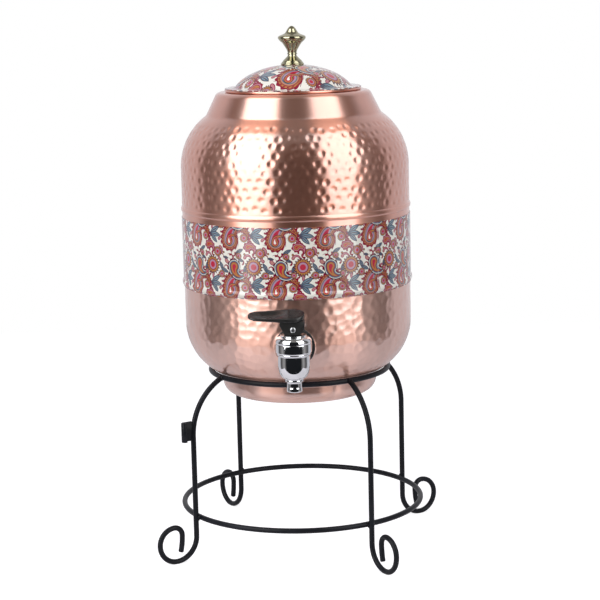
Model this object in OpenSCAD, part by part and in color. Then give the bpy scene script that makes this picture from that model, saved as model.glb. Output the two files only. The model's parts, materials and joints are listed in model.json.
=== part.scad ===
// Copper water dispenser: a hammered vessel with a printed band, a domed lid with a turned knob,
// a lever tap with its valve, and a wire stand with scrolled feet.
// Millimetres, +Z up. The origin is on the vessel's axis at floor level, and the tap faces -Y.

/* [Vessel] */
// Outer radius of the straight wall
body_r = 98; // [94:0.5:104]
// Thickness of the copper sheet
sheet_t = 1; // [0.8:0.1:1.4]
// Height of the straight wall, from the lower curve to the shoulder curve
wall_h = 134; // [128:1:150]
// Radius of the curve from the wall down to the foot
bowl_round = 48.5; // [46:0.5:50]
// Outer radius of the foot
foot_r = 67; // [63:0.5:69]
// Height of the foot up to the lower curve
foot_h = 18; // [17:0.5:24]
// Rounding of the foot's bottom edge
foot_round = 11; // [7:0.5:12]
// Rounding of the inner corner between the foot and the lower curve
foot_fillet = 5; // [3:0.5:6]
// Radius of the shoulder curve
shoulder_round = 54; // [48:0.5:58]
// Radius at the bottom of the neck
neck_base_r = 75; // [73:0.5:80]
// Radius at the top of the neck
neck_top_r = 67.5; // [66:0.5:69]
// Height of the neck
neck_h = 19.5; // [16:0.5:26]
// Rounding of the neck's top edge
neck_round = 5.5; // [3:0.5:6]
// Radius of the filling mouth
mouth_r = 53.5; // [53:0.5:55]
// Width of a rolled bead
bead_w = 5; // [4:0.5:6]
// How far a bead stands proud of the wall
bead_h = 1; // [0.6:0.1:1.4]
// Height of the lower bead above the vessel's bottom
bead_low_z = 99.5; // [92:0.5:106]
// Height of the upper bead above the vessel's bottom
bead_high_z = 162.5; // [161:0.5:176]
// Height of the brazed lap seam above the vessel's bottom
seam_z = 126; // [118:1:140]
// Depth of the lap at the seam
lap_h = 8; // [5:0.5:10]
// Gap at the lap, filled by solder
lap_gap = 0.05; // [0.03:0.01:0.1]

/* [Printed band] */
// Height of the printed film
band_h = 59.5; // [40:0.5:60]
// How far the film reaches below the lower bead's middle
band_below = 3.5; // [3.2:0.1:6]
// Thickness of the film
film_t = 0.6; // [0.5:0.05:0.8]
// Thickness of the glue under the film
film_gap = 0.05; // [0.03:0.01:0.1]

/* [Lid] */
// Outer radius of the lid's rolled edge
lid_r = 58.8; // [58:0.2:61]
// Thickness of the lid's sheet
lid_t = 1; // [0.8:0.1:1.4]
// Radius of the roll at the lid's edge
lid_roll_r = 1.5; // [1.2:0.1:1.8]
// Radius of the dome where it meets the flange
dome_r = 50.5; // [49:0.5:51]
// Height of the dome above the flange
dome_h = 18.4; // [14:0.2:24]
// Radius of the flat crown that carries the knob
crown_r = 10.5; // [10.2:0.1:14]
// Depth of the locating skirt below the ledge
skirt_h = 12; // [8:0.5:18]
// Gap between the skirt and the mouth
skirt_gap = 0.6; // [0.4:0.1:1]
// Gap between the lid's edge and the ledge that carries it
lid_gap = 0.3; // [0.2:0.05:0.5]

/* [Knob] */
// Total height of the knob
knob_h = 33; // [31:0.5:38]
// Radius of the knob's base
knob_base_r = 10; // [9:0.1:10.2]
// Radius of the knob's waist
knob_waist_r = 3.6; // [3.4:0.1:5]
// Radius of the knob's rim
knob_rim_r = 12; // [10:0.1:14]
// Height of the waist above the crown
knob_waist_z = 9.5; // [9:0.1:11]
// Height of the rim's lower edge above the crown
knob_rim_z = 21.5; // [19:0.1:23]
// Radius of the cap on top of the rim
knob_cap_r = 7.2; // [6:0.1:8]
// Radius of the knob's screw
screw_r = 2; // [1.5:0.1:2.5]
// Length of the screw inside the knob
screw_l = 8; // [6:0.5:12]
// Radius of the washer under the screw's head
knob_washer_r = 7; // [5.5:0.1:9]
// Thickness of that washer
knob_washer_t = 1; // [0.8:0.1:2]

/* [Tap] */
// Height of the tap's shank above the vessel's bottom
tap_z = 57; // [55:0.5:64]
// Radius of the flat pressed into the wall for the tap
pad_r = 18.5; // [18:0.5:22]
// How far that flat lies inside the wall's outermost line
pad_set = 0.5; // [0.4:0.05:0.6]
// Radius of the rubber washer outside
washer_r = 16.7; // [15:0.1:17.5]
// Thickness of each rubber washer
washer_t = 3; // [2:0.1:4]
// Radius of the tap's flange
flange_r = 13.8; // [12:0.1:14.5]
// Thickness of the tap's flange
flange_t = 3; // [2:0.1:4]
// Distance from the flange to the tap's upright axis
tap_reach = 24; // [22:0.5:30]
// Radius of the threaded shank
shank_r = 8; // [7:0.1:9]
// Radius of the water way through the shank
shank_bore_r = 4; // [3:0.1:4.4]
// Length of thread that shows past the nut
shank_spare = 6; // [4:0.5:12]
// Thickness of the lock nut
nut_t = 6; // [4:0.5:8]
// Radius of the lock nut over its corners
nut_r = 13.5; // [12:0.1:15]
// Radius of the upper barrel
barrel_r = 14.8; // [14:0.1:17]
// Height of the upper barrel above the shank's axis
barrel_h = 9.2; // [9:0.1:12]
// Radius of the lower cup
cup_r = 13.2; // [12.6:0.1:13.8]
// Height of the cup's curve
cup_h = 13; // [11:0.5:15]
// Depth from the shank's axis to the top of the cup's curve
cup_drop = 7; // [6:0.1:9]
// Radius of the collar above the nozzle
collar_r = 7.6; // [7.2:0.1:8.4]
// Height of that collar
collar_h = 2.4; // [1.5:0.1:3.5]
// Radius of the nozzle
nozzle_r = 6.4; // [5.8:0.1:7]
// Length of the nozzle below its collar
nozzle_l = 8.6; // [6:0.1:12]
// Radius of the spout's outlet bore
outlet_r = 4.2; // [3:0.1:4.6]
// Radius of the valve chamber
chamber_r = 9.5; // [9:0.1:10]
// Depth from the shank's axis to the valve seat
seat_drop = 13.6; // [12:0.1:14.5]
// Radius of the flat on top of the bonnet
bonnet_flat_r = 7.4; // [6:0.1:9]
// Height of the bonnet's dome
bonnet_h = 6.8; // [6.5:0.1:9]
// Radius of the bonnet's spring pocket
pocket_r = 7; // [6.6:0.1:7.4]
// Depth of the spring pocket above the barrel
pocket_h = 2.4; // [1:0.1:2.8]
// Radius of the valve stem
stem_r = 2.4; // [2:0.1:2.8]
// Running clearance round shafts and pins
shaft_gap = 0.05; // [0.02:0.01:0.08]
// Radius of the section of the stem's sealing ring
seal_r = 0.8; // [0.6:0.05:0.9]
// Radius of the seat cup
seat_r = 6.8; // [6.4:0.1:7.4]
// Radius of the seat cup's sleeve
sleeve_r = 4; // [3.6:0.1:4.3]
// Height of the seat cup
seat_h = 9; // [7:0.5:10]
// Gap at faces that meet when the valve and lever are at rest
touch_gap = 0.25; // [0.2:0.05:0.3]
// Radius of the spring's turns
spring_r = 5.7; // [5.4:0.1:5.8]
// Diameter of the spring wire
spring_wire = 1; // [0.8:0.1:1]
// Turns of the spring
spring_turns = 7; // [5:1:9]

/* [Lever] */
// Height of the pin above the hub's bottom
cam_h = 4.7; // [4.4:0.1:6]
// Lift of the valve when the lever stands upright
lift = 4.8; // [4:0.1:5]
// Radius of the lever's pin
pin_r = 1.2; // [1:0.1:1.3]
// Radius of the pin's heads
pin_head_r = 2.3; // [1.8:0.1:2.8]
// Thickness of the pin's heads
pin_head_t = 0.9; // [0.6:0.1:1.4]
// Depth of the hub along its pin
hub_d = 14; // [12:0.5:16]
// Half width of the hub at its bottom
hub_foot_w = 6.8; // [5:0.1:7]
// Half width of the hub under the blade
hub_top_w = 10.9; // [9:0.1:12]
// Gap on each side of the stem in the hub's slot
slot_gap = 0.3; // [0.2:0.05:0.5]
// Length of the blade from the pin to its tip
blade_l = 36.3; // [28:0.5:40]
// Radius of the blade's tip, seen from above
tip_r = 6.8; // [6:0.1:8.5]
// Radius of the blade's end over the hub, seen from above
blade_end_r = 9.3; // [8.6:0.1:9.4]
// Height of the blade's underside above the pin
blade_low = 6.4; // [6:0.1:8]
// Thickness of the blade
blade_t = 6.3; // [4:0.1:8]
// Slant of the blade about its length, in degrees
blade_slant = 16; // [0:1:20]
// Depth of the thumb dish in the blade's top
dish_h = 1; // [0.4:0.1:1.5]

/* [Stand] */
// Diameter of the stand's wire
wire_d = 4.6; // [4:0.1:6]
// Radius of the top ring's centre line
top_ring_r = 77.3; // [75:0.1:80]
// Height of the top ring's centre line
top_ring_z = 156; // [140:1:190]
// Radius of the lower ring's centre line
lower_ring_r = 104.4; // [100:0.2:112]
// Height of the lower ring's centre line
lower_ring_z = 37.5; // [36:0.5:60]
// How far a weld sinks one wire into the other
weld_bite = 0.7; // [0.4:0.1:1]
// Turn of the stand under the vessel, in degrees
stand_turn = -11; // [-45:1:45]
// Radius of the bow at the top of a leg
bow_r = 52; // [46:0.5:60]
// Radius of the leg's first bend, from upright to the floor
scroll_in_r = 19.5; // [18:0.5:24]
// Radius of the bend that rises from the floor
scroll_out_r = 16; // [14:0.5:18]
// Radius of the bend over the top of the scroll
scroll_top_r = 14; // [12:0.5:15]
// Radius of the curl at the scroll's end
scroll_curl_r = 7.5; // [6:0.5:8]
// Length of the tail inside the scroll
tail_l = 15; // [6:0.5:16]
// Radius of the slow bend of that tail
tail_r = 60; // [50:1:90]
// Depth of the flat under a foot
foot_cut = 0.4; // [0.2:0.1:0.8]
// Gap between the vessel and the ring that carries it
rest_gap = 0.3; // [0.2:0.05:0.5]
// Height of the side clip
clip_h = 17; // [10:0.5:24]
// Height of the side clip's middle above the floor
clip_z = 114; // [90:1:116]
// Width of the side clip's flat
clip_w = 7; // [5:0.5:14]
// Thickness of the side clip's strip
clip_t = 1.6; // [1:0.1:2.4]
// Inner radius of the roll at the side clip's edge
clip_roll_r = 1.3; // [1:0.1:3]

/* [Hidden] */
$fn = 96;
// Steps in each drawn arc
arc_steps = 10;
// A length longer than any piece, for cuts
far = 400;
// How far the dome's oval runs past the flange before it is cut, as a share of its radius
dome_overrun = 1.08;
// Size of the knob screw's head, as shares of the screw's radius
screw_head_wide = 2;
screw_head_high = 1.2;
// Clearance round the knob's screw and round the shank
screw_gap = 0.2;
shank_gap = 0.3;
// Height of the bonnet's plug above the water way
plug_clear = 0.6;
// Thickness of the seat cup's disc, and how far above it the stem ends
seat_disc_t = 3;
stem_stop = 1;
// Height of the stem above its pin, past its own radius
stem_spare = 0.8;

COPPER = "#c08468";
BRASS = "#d9b35a";
CHROME = "#c9ccd0";
BLACK = "#1b1b1d";
RUBBER = "#141414";
SILICONE = "#d8d4c8";
STEEL = "#a8abb0";
PRINT = "#e9dfcf";

// Heights in the vessel's own frame, from its bottom
bowl_cx = body_r - bowl_round;
bowl_cz = foot_h + sqrt(pow(bowl_round, 2) - pow(foot_r - bowl_cx, 2));
fillet_cx = foot_r + foot_fillet;
fillet_cz = bowl_cz - sqrt(pow(bowl_round + foot_fillet, 2) - pow(fillet_cx - bowl_cx, 2));
fillet_end = atan2(bowl_cz - fillet_cz, bowl_cx - fillet_cx);
shoulder_cx = body_r - shoulder_round;
shoulder_cz = bowl_cz + wall_h;
shoulder_end = acos((neck_base_r - shoulder_cx) / shoulder_round);
neck_base_z = shoulder_cz + shoulder_round * sin(shoulder_end);
ledge_z = neck_base_z + neck_h;
neck_slope = atan((neck_base_r - neck_top_r) / neck_h);
bead_round = (pow(bead_h, 2) + pow(bead_w / 2, 2)) / (2 * bead_h);
bead_half_angle = asin(bead_w / 2 / bead_round);
lap_r = body_r - sheet_t - lap_gap;
band_z = bead_low_z - band_below;

// The vessel rests on the top ring
rest_reach = bowl_round + wire_d / 2 + rest_gap;
vessel_z = top_ring_z - bowl_cz + sqrt(pow(rest_reach, 2) - pow(top_ring_r - bowl_cx, 2));

// The lid rests on the ledge
lid_z = ledge_z + lid_gap;
flange_z = lid_z + 2 * lid_roll_r;
skirt_r = mouth_r - skirt_gap;
crown_z = flange_z + dome_h;
dome_oval_rx = dome_r * dome_overrun;
dome_start = acos(dome_r / dome_oval_rx);
dome_end = acos(crown_r / dome_oval_rx);
dome_oval_rz = dome_h / (sin(dome_end) - sin(dome_start));
dome_oval_z = crown_z - dome_oval_rz * sin(dome_end);
screw_head_r = screw_head_wide * screw_r;
screw_head_h = screw_head_high * screw_r;
screw_hole_r = screw_r + screw_gap;

// The tap, from its shank's axis and its upright axis
pad_y = body_r - pad_set;
tap_y = pad_y + washer_t + flange_t + tap_reach;
shank_hole_r = shank_r + shank_gap;
shank_end = tap_reach + flange_t + washer_t + sheet_t + washer_t + nut_t + shank_spare;
cup_low = cup_drop + cup_h;
nozzle_end = cup_low + collar_h + nozzle_l;
bonnet_z = barrel_h + bonnet_h;
plug_z = shank_bore_r + plug_clear;
pin_z = bonnet_z + touch_gap + cam_h;
seat_z = -seat_drop + touch_gap;
spring_low = seat_z + seat_disc_t + touch_gap;
spring_high = barrel_h + pocket_h - touch_gap;
stem_low = seat_z + seat_disc_t + stem_stop;
stem_over = stem_r + stem_spare;
seal_z = barrel_h + pocket_h + (bonnet_h - pocket_h) / 2;
slot_w = 2 * (stem_r + slot_gap);
cam_rate = lift / (PI / 2);

// The stand
wire_r = wire_d / 2;
weld_reach = wire_d - weld_bite;
leg_r = lower_ring_r + weld_reach;
leg_base = wire_r - foot_cut;
// The bow ends in the top ring's outside, and its start is rounded to a tenth
bow_angle = acos((top_ring_r + wire_r - weld_bite - leg_r + bow_r) / bow_r);
bow_z = round(10 * (top_ring_z - bow_r * sin(bow_angle))) / 10;
tail_angle = tail_l / tail_r * 180 / PI;
front_right_angle = -45 + stand_turn;
front_left_angle = -135 + stand_turn;
rear_right_angle = 45 + stand_turn;
rear_left_angle = 135 + stand_turn;

// Points of an oval arc from angle a0 to a1 about (cx, cy)
function oval(cx, cy, rx, ry, a0, a1, steps = arc_steps) =
    [for (i = [0:steps]) let (a = a0 + (a1 - a0) * i / steps) [cx + rx * cos(a), cy + ry * sin(a)]];

// Points of a round arc
function arc(cx, cy, r, a0, a1) = oval(cx, cy, r, r, a0, a1);

function reversed(points) = [for (i = [len(points) - 1:-1:0]) points[i]];

// The rolled bead, at a depth inside the wall's outer face
function bead(z, depth) =
    arc(body_r + bead_h - bead_round, z, bead_round - depth, -bead_half_angle, bead_half_angle);

// The lower shell's face, at a depth inside its outer face
function lower_face(depth) = concat(
    [[0, depth]],
    arc(foot_r - foot_round, foot_round, foot_round - depth, -90, 0),
    arc(fillet_cx, fillet_cz, foot_fillet + depth, 180, fillet_end),
    arc(bowl_cx, bowl_cz, bowl_round - depth, fillet_end - 180, 0),
    bead(bead_low_z, depth),
    [[body_r - depth, seam_z]]
);

// The upper shell's face, from the lap tongue to the mouth
function upper_face(depth) = concat(
    [[lap_r - depth, seam_z - lap_h], [lap_r - depth, seam_z + lap_gap + depth]],
    [[body_r - depth, seam_z + lap_gap + 2 * depth]],
    bead(bead_high_z, depth),
    arc(shoulder_cx, shoulder_cz, shoulder_round - depth, 0, shoulder_end),
    arc(neck_top_r - neck_round, ledge_z - neck_round, neck_round - depth, neck_slope, 90),
    [[mouth_r, ledge_z - depth]]
);

function band_face(depth) = concat(
    [[body_r - depth, band_z]], bead(bead_low_z, depth), [[body_r - depth, band_z + band_h]]
);

// The lid's face, from the flange up over the dome to the crown
function lid_face(depth) = concat(
    [[lid_r - lid_roll_r, flange_z - depth]],
    oval(0, dome_oval_z, dome_oval_rx - depth, dome_oval_rz - depth, dome_start, dome_end, 2 * arc_steps),
    [[screw_hole_r, dome_oval_z + (dome_oval_rz - depth) * sin(dome_end)]]
);

module lathe(points) rotate_extrude() polygon(points);

module ring(r_out, r_in, h) difference() {
    cylinder(r = r_out, h = h);
    translate([0, 0, -h]) cylinder(r = r_in, h = 3 * h);
}

// Moves a piece from the vessel's own frame to its place on the stand
module on_stand() translate([0, 0, vessel_z]) children();

// Moves a piece from the crossing of the tap's two axes to its place on the vessel
module at_tap() on_stand() translate([0, -tap_y, tap_z]) children();

// Lays a piece along the shank, starting at a distance behind the tap's upright axis
module along_shank(start) at_tap() translate([0, start, 0]) rotate([-90, 0, 0]) children();

// The flat pressed out of the wall round the tap hole, at a depth inside its outer face
module tap_pad(depth) {
    pad_depth = pad_r;
    pad_taper = 0.35;
    translate([0, depth - pad_y, tap_z])
        rotate([-90, 0, 0])
            cylinder(h = pad_depth, r1 = pad_r - depth, r2 = pad_r - depth + pad_depth * pad_taper);
}

module vessel_lower() color(COPPER) on_stand() difference() {
    union() {
        lathe(concat(lower_face(0), reversed(lower_face(sheet_t))));
        difference() {
            tap_pad(0);
            lathe(concat(lower_face(sheet_t), [[0, seam_z]]));
        }
        translate([0, -pad_y, tap_z]) rotate([-90, 0, 0]) cylinder(r = pad_r, h = sheet_t);
    }
    tap_pad(sheet_t);
    translate([0, -pad_y, tap_z]) rotate([90, 0, 0]) cylinder(r = pad_r, h = pad_r);
    translate([0, -far / 2, tap_z]) rotate([-90, 0, 0]) cylinder(r = shank_hole_r, h = far / 2);
}

module vessel_upper() color(COPPER) on_stand()
    lathe(concat(upper_face(0), reversed(upper_face(sheet_t))));

module printed_band() color(PRINT) on_stand()
    lathe(concat(band_face(-film_gap - film_t), reversed(band_face(-film_gap))));

module lid_dome() color(PRINT) on_stand() {
    rotate_extrude() {
        polygon(concat(lid_face(0), reversed(lid_face(lid_t))));
        translate([lid_r - lid_roll_r, lid_z + lid_roll_r]) circle(r = lid_roll_r);
    }
}

module lid_skirt() color(COPPER) on_stand()
    translate([0, 0, ledge_z - skirt_h])
        ring(skirt_r, skirt_r - lid_t, skirt_h + flange_z - lid_t - ledge_z);

module lid_knob() color(BRASS) on_stand() translate([0, 0, crown_z]) {
    base_t = 1.6;
    waist_round = 4;
    rim_t = 2.4;
    rim_bevel = 0.5;
    rim_slope = 2.8;
    base_step = 1.6;
    base_rise = 0.8;
    waist_from = 215;
    waist_to = 140;
    cap_z = knob_rim_z + rim_t + 2 * rim_bevel + rim_slope;
    difference() {
        lathe(concat(
            [[0, 0], [knob_base_r, 0], [knob_base_r, base_t], [knob_base_r - base_step, base_t + base_rise]],
            arc(knob_waist_r + waist_round, knob_waist_z, waist_round, waist_from, waist_to),
            [[knob_rim_r - rim_bevel, knob_rim_z], [knob_rim_r, knob_rim_z + rim_bevel]],
            [[knob_rim_r, knob_rim_z + rim_bevel + rim_t]],
            [[knob_rim_r - rim_bevel, knob_rim_z + 2 * rim_bevel + rim_t]],
            oval(0, cap_z, knob_cap_r, knob_h - cap_z, 0, 90)
        ));
        translate([0, 0, -screw_l]) cylinder(r = screw_r, h = 2 * screw_l);
    }
}

module knob_washer() color(STEEL) on_stand()
    translate([0, 0, crown_z - lid_t - knob_washer_t]) ring(knob_washer_r, screw_hole_r, knob_washer_t);

module knob_screw() color(STEEL) on_stand() {
    under_washer = crown_z - lid_t - knob_washer_t;
    translate([0, 0, under_washer - screw_head_h]) cylinder(r = screw_head_r, h = screw_head_h);
    translate([0, 0, under_washer]) cylinder(r = screw_r, h = crown_z + screw_l - under_washer);
}

module tap_body() color(CHROME) {
    edge = 0.5;
    ridge_w = 1;
    ridge_z = 0.8;
    difference() {
        union() {
            at_tap() lathe(concat(
                [[0, -nozzle_end], [nozzle_r - edge, -nozzle_end], [nozzle_r, edge - nozzle_end]],
                [[nozzle_r, -cup_low - collar_h], [collar_r, edge - cup_low - collar_h]],
                oval(collar_r, -cup_drop, cup_r - collar_r, cup_h, -90, 0),
                [[cup_r, ridge_z - ridge_w], [cup_r + ridge_w, ridge_z], [barrel_r, ridge_z + ridge_w]],
                [[barrel_r, barrel_h], [0, barrel_h]]
            ));
            along_shank(0) cylinder(r = shank_r, h = shank_end);
            along_shank(tap_reach) cylinder(r = flange_r, h = flange_t);
        }
        at_tap() translate([0, 0, -seat_drop]) cylinder(r = chamber_r, h = far);
        at_tap() translate([0, 0, -far]) cylinder(r = outlet_r, h = far);
        along_shank(0) cylinder(r = shank_bore_r, h = far);
    }
}

module tap_bonnet() color(CHROME) at_tap() difference() {
    lathe(concat(
        [[0, plug_z], [chamber_r - shaft_gap, plug_z], [chamber_r - shaft_gap, barrel_h]],
        oval(bonnet_flat_r, barrel_h, barrel_r - bonnet_flat_r, bonnet_h, 0, 90),
        [[0, bonnet_z]]
    ));
    cylinder(r = pocket_r, h = barrel_h + pocket_h);
    cylinder(r = stem_r + shaft_gap, h = far);
    translate([0, 0, seal_z - seal_r]) cylinder(r = stem_r + 2 * seal_r + 2 * shaft_gap, h = 2 * seal_r);
}

module stem_seal() color(RUBBER) at_tap() translate([0, 0, seal_z])
    rotate_extrude() translate([stem_r + seal_r + shaft_gap, 0]) circle(r = seal_r - shaft_gap / 2);

module seat_cup() color(SILICONE) at_tap() difference() {
    lathe([
        [0, seat_z], [seat_r, seat_z], [seat_r, seat_z + seat_disc_t],
        [sleeve_r, seat_z + seat_disc_t], [sleeve_r, seat_z + seat_h], [0, seat_z + seat_h]
    ]);
    translate([0, 0, stem_low - touch_gap]) cylinder(r = stem_r + shaft_gap, h = far);
}

module valve_stem() color(STEEL) at_tap() difference() {
    translate([0, 0, stem_low]) cylinder(r = stem_r, h = pin_z + stem_over - stem_low);
    translate([0, far / 2, pin_z]) rotate([90, 0, 0]) cylinder(r = pin_r + shaft_gap, h = far);
}

// Centre line, ring of six points and faces of the spring
coil_sides = 6;
rings_per_turn = 8;
coil_rings = spring_turns * rings_per_turn;
coil_pitch = (spring_high - spring_low - spring_wire) / spring_turns;
coil_line = [for (i = [0:coil_rings]) let (a = 360 * i / rings_per_turn) [
    spring_r * cos(a), spring_r * sin(a), spring_low + spring_wire / 2 + coil_pitch * i / rings_per_turn
]];
coil_points = [for (i = [0:coil_rings]) let (a = 360 * i / rings_per_turn) for (j = [0:coil_sides - 1])
    let (b = 360 * j / coil_sides, out = spring_wire / 2 * cos(b))
    coil_line[i] + [out * cos(a), out * sin(a), spring_wire / 2 * sin(b)]];
coil_faces = concat(
    [[for (j = [0:coil_sides - 1]) j]],
    [for (i = [0:coil_rings - 1]) for (j = [0:coil_sides - 1]) let (k = (j + 1) % coil_sides)
        [i * coil_sides + j, (i + 1) * coil_sides + j, i * coil_sides + k]],
    [for (i = [0:coil_rings - 1]) for (j = [0:coil_sides - 1]) let (k = (j + 1) % coil_sides)
        [i * coil_sides + k, (i + 1) * coil_sides + j, (i + 1) * coil_sides + k]],
    [[for (j = [coil_sides - 1:-1:0]) coil_rings * coil_sides + j]]
);
coil_gap = min([for (i = [0:coil_rings - rings_per_turn])
    norm(coil_line[i + rings_per_turn] - coil_line[i])]) - spring_wire;
echo(spring_least_gap = coil_gap);

module valve_spring() color(STEEL) at_tap() polyhedron(coil_points, coil_faces, convexity = 10);

module outer_washer() color(RUBBER) along_shank(tap_reach + flange_t)
    ring(washer_r, shank_hole_r, washer_t);

module inner_washer() color(RUBBER) along_shank(tap_reach + flange_t + washer_t + sheet_t)
    ring(flange_r, shank_hole_r, washer_t);

module shank_nut() color(STEEL) along_shank(tap_reach + flange_t + 2 * washer_t + sheet_t) difference() {
    cylinder(r = nut_r, h = nut_t, $fn = 6);
    translate([0, 0, -nut_t]) cylinder(r = shank_r + shaft_gap, h = 3 * nut_t);
}

// Moves a piece drawn round the lever's pin to its place
module at_pin() at_tap() translate([0, 0, pin_z]) children();

// Extrudes an outline drawn in the lever's side view, centred on the pin's middle
module along_pin(depth) rotate([90, 0, 0]) linear_extrude(depth, center = true) children();

// A point of the cam under the hub, whose support distance grows evenly with the lever's angle
function cam_point(a) = let (h = cam_h + lift * a / 90)
    [h * sin(a) + cam_rate * cos(a), -h * cos(a) + cam_rate * sin(a)];

module lever_hub() {
    cam_step = 6;
    along_pin(hub_d) polygon(concat(
        [[-hub_foot_w, -cam_h]],
        [for (a = [0:cam_step:90]) cam_point(a)],
        [[cam_h + lift - touch_gap, blade_low], [cam_h + lift - touch_gap, blade_low + blade_t / 2]],
        [[-hub_top_w, blade_low + blade_t / 2], [-hub_top_w, blade_low]]
    ));
}

// The blade from above: two round ends joined by tangents
module blade_plan() {
    tip_x = tip_r - blade_l;
    lean = asin((blade_end_r - tip_r) / -tip_x);
    polygon(concat(
        arc(0, 0, blade_end_r, lean - 90, 90 - lean),
        arc(tip_x, 0, tip_r, 90 - lean, 270 + lean)
    ));
}

// The blade from the side: a curved underside and a dished top
module blade_side() {
    tip_rise = 1.6;
    tip_fall = 0.8;
    dish_start = 0.35;
    long = blade_l + blade_end_r;
    steps = 2 * arc_steps;
    function under(t) = [blade_end_r - long * t, blade_low + tip_rise * t * t];
    function dish(t) = t < dish_start ? 0 : dish_h * sin(180 * (t - dish_start) / (1 - dish_start));
    function top(t) = [blade_end_r - long * t, blade_low + blade_t - tip_fall * t * t - dish(t)];
    polygon(concat(
        [for (i = [0:steps]) under(i / steps)],
        [for (i = [steps:-1:0]) top(i / steps)]
    ));
}

module tap_lever() color(BLACK) at_pin() difference() {
    union() {
        lever_hub();
        blade_mid = [0, 0, blade_low + blade_t / 2];
        translate(blade_mid) rotate([blade_slant, 0, 0]) translate(-blade_mid) intersection() {
            linear_extrude(far) blade_plan();
            along_pin(far) blade_side();
        }
    }
    slot_r = norm([stem_r, stem_over]) + slot_gap;
    along_pin(slot_w) {
        circle(r = slot_r);
        translate([-stem_r - slot_gap, -far]) square([far, far + stem_r + slot_gap]);
    }
    along_pin(far) circle(r = pin_r + shaft_gap);
}

module lever_pin() color(STEEL) at_pin() {
    half = hub_d / 2 + touch_gap;
    rotate([90, 0, 0]) cylinder(r = pin_r, h = 2 * half, center = true);
    for (side = [-1, 1])
        translate([0, side * (half + pin_head_t / 2), 0])
            rotate([90, 0, 0]) cylinder(r = pin_head_r, h = pin_head_t, center = true);
}

module wire_ring(r) rotate_extrude() translate([r, 0]) circle(r = wire_r);

// A bend of wire in the leg's upright plane, about (x, z)
module wire_bend(x, z, r, a0, a1)
    translate([x, 0, z]) rotate([90, 0, 0]) rotate([0, 0, a0])
        rotate_extrude(angle = a1 - a0) translate([r, 0]) circle(r = wire_r);

// A leg from its weld on the top ring, down past the lower ring, to the scroll that is its foot
module leg(angle) color(BLACK) rotate([0, 0, angle]) difference() {
    floor_x = leg_r + scroll_in_r;
    top_x = floor_x + scroll_out_r - scroll_top_r;
    out_z = leg_base + scroll_out_r;
    curl_z = out_z + scroll_top_r - scroll_curl_r;
    curl_x = top_x - scroll_curl_r;
    union() {
        wire_bend(leg_r - bow_r, bow_z, bow_r, 0, bow_angle);
        translate([leg_r, 0, leg_base + scroll_in_r])
            cylinder(r = wire_r, h = bow_z - leg_base - scroll_in_r);
        wire_bend(floor_x, leg_base + scroll_in_r, scroll_in_r, 180, 270);
        wire_bend(floor_x, out_z, scroll_out_r, 270, 360);
        wire_bend(top_x, out_z, scroll_top_r, 0, 90);
        wire_bend(top_x, curl_z, scroll_curl_r, 90, 180);
        wire_bend(curl_x + tail_r, curl_z, tail_r, 180, 180 + tail_angle);
    }
    translate([0, -far / 2, -far]) cube(far);
}

module stand_top_ring() color(BLACK) translate([0, 0, top_ring_z]) wire_ring(top_ring_r);
module stand_lower_ring() color(BLACK) translate([0, 0, lower_ring_z]) wire_ring(lower_ring_r);
module leg_front_left() leg(front_left_angle);
module leg_front_right() leg(front_right_angle);
module leg_rear_left() leg(rear_left_angle);
module leg_rear_right() leg(rear_right_angle);

// A strip welded to the outside of the front left leg, with its outer edge rolled into a hook
module side_clip() color(BLACK) rotate([0, 0, front_left_angle]) {
    weld_x = leg_r + wire_r - weld_bite;
    roll_x = leg_r + wire_r + clip_w;
    roll_out = clip_roll_r + clip_t;
    roll_turn = 200;
    translate([0, 0, clip_z - clip_h / 2]) {
        translate([weld_x, -clip_t / 2, 0]) cube([roll_x - weld_x, clip_t, clip_h]);
        translate([roll_x, clip_t / 2 + clip_roll_r, 0]) rotate([0, 0, -90])
            rotate_extrude(angle = roll_turn) translate([clip_roll_r, 0]) square([clip_t, clip_h]);
    }
}

vessel_lower();
vessel_upper();
printed_band();
lid_dome();
lid_skirt();
lid_knob();
knob_washer();
knob_screw();
tap_body();
tap_bonnet();
stem_seal();
tap_lever();
lever_pin();
valve_stem();
valve_spring();
seat_cup();
outer_washer();
inner_washer();
shank_nut();
stand_top_ring();
stand_lower_ring();
leg_front_left();
leg_front_right();
leg_rear_left();
leg_rear_right();
side_clip();
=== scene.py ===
"""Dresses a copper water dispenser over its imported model: a hammered vessel with a printed band and lid, a
turned brass knob, a chrome lever tap and a black wire stand, on a pale studio floor."""

import json
import math
import random

import bmesh
import bpy
import numpy as np
from bpy.props import FloatProperty, FloatVectorProperty, IntProperty, PointerProperty
from mathutils import Matrix, Quaternion, Vector


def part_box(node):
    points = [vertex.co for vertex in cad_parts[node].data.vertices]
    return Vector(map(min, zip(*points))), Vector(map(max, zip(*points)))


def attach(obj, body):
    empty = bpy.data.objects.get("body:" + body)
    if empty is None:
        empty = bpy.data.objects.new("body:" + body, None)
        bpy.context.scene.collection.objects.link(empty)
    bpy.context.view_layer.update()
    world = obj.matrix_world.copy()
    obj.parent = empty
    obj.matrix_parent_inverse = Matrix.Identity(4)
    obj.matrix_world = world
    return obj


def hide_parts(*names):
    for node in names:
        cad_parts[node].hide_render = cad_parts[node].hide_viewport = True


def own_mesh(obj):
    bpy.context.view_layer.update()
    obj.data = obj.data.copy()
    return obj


bl_info = {
    "name": "Copper water dispenser",
    "version": (1, 0, 0),
    "blender": (4, 5, 0),
    "location": "3D View > Sidebar > Dispenser",
    "description": "Builds the dressed pieces, the finishes and the stage of a copper water dispenser",
    "category": "Object",
}

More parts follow.
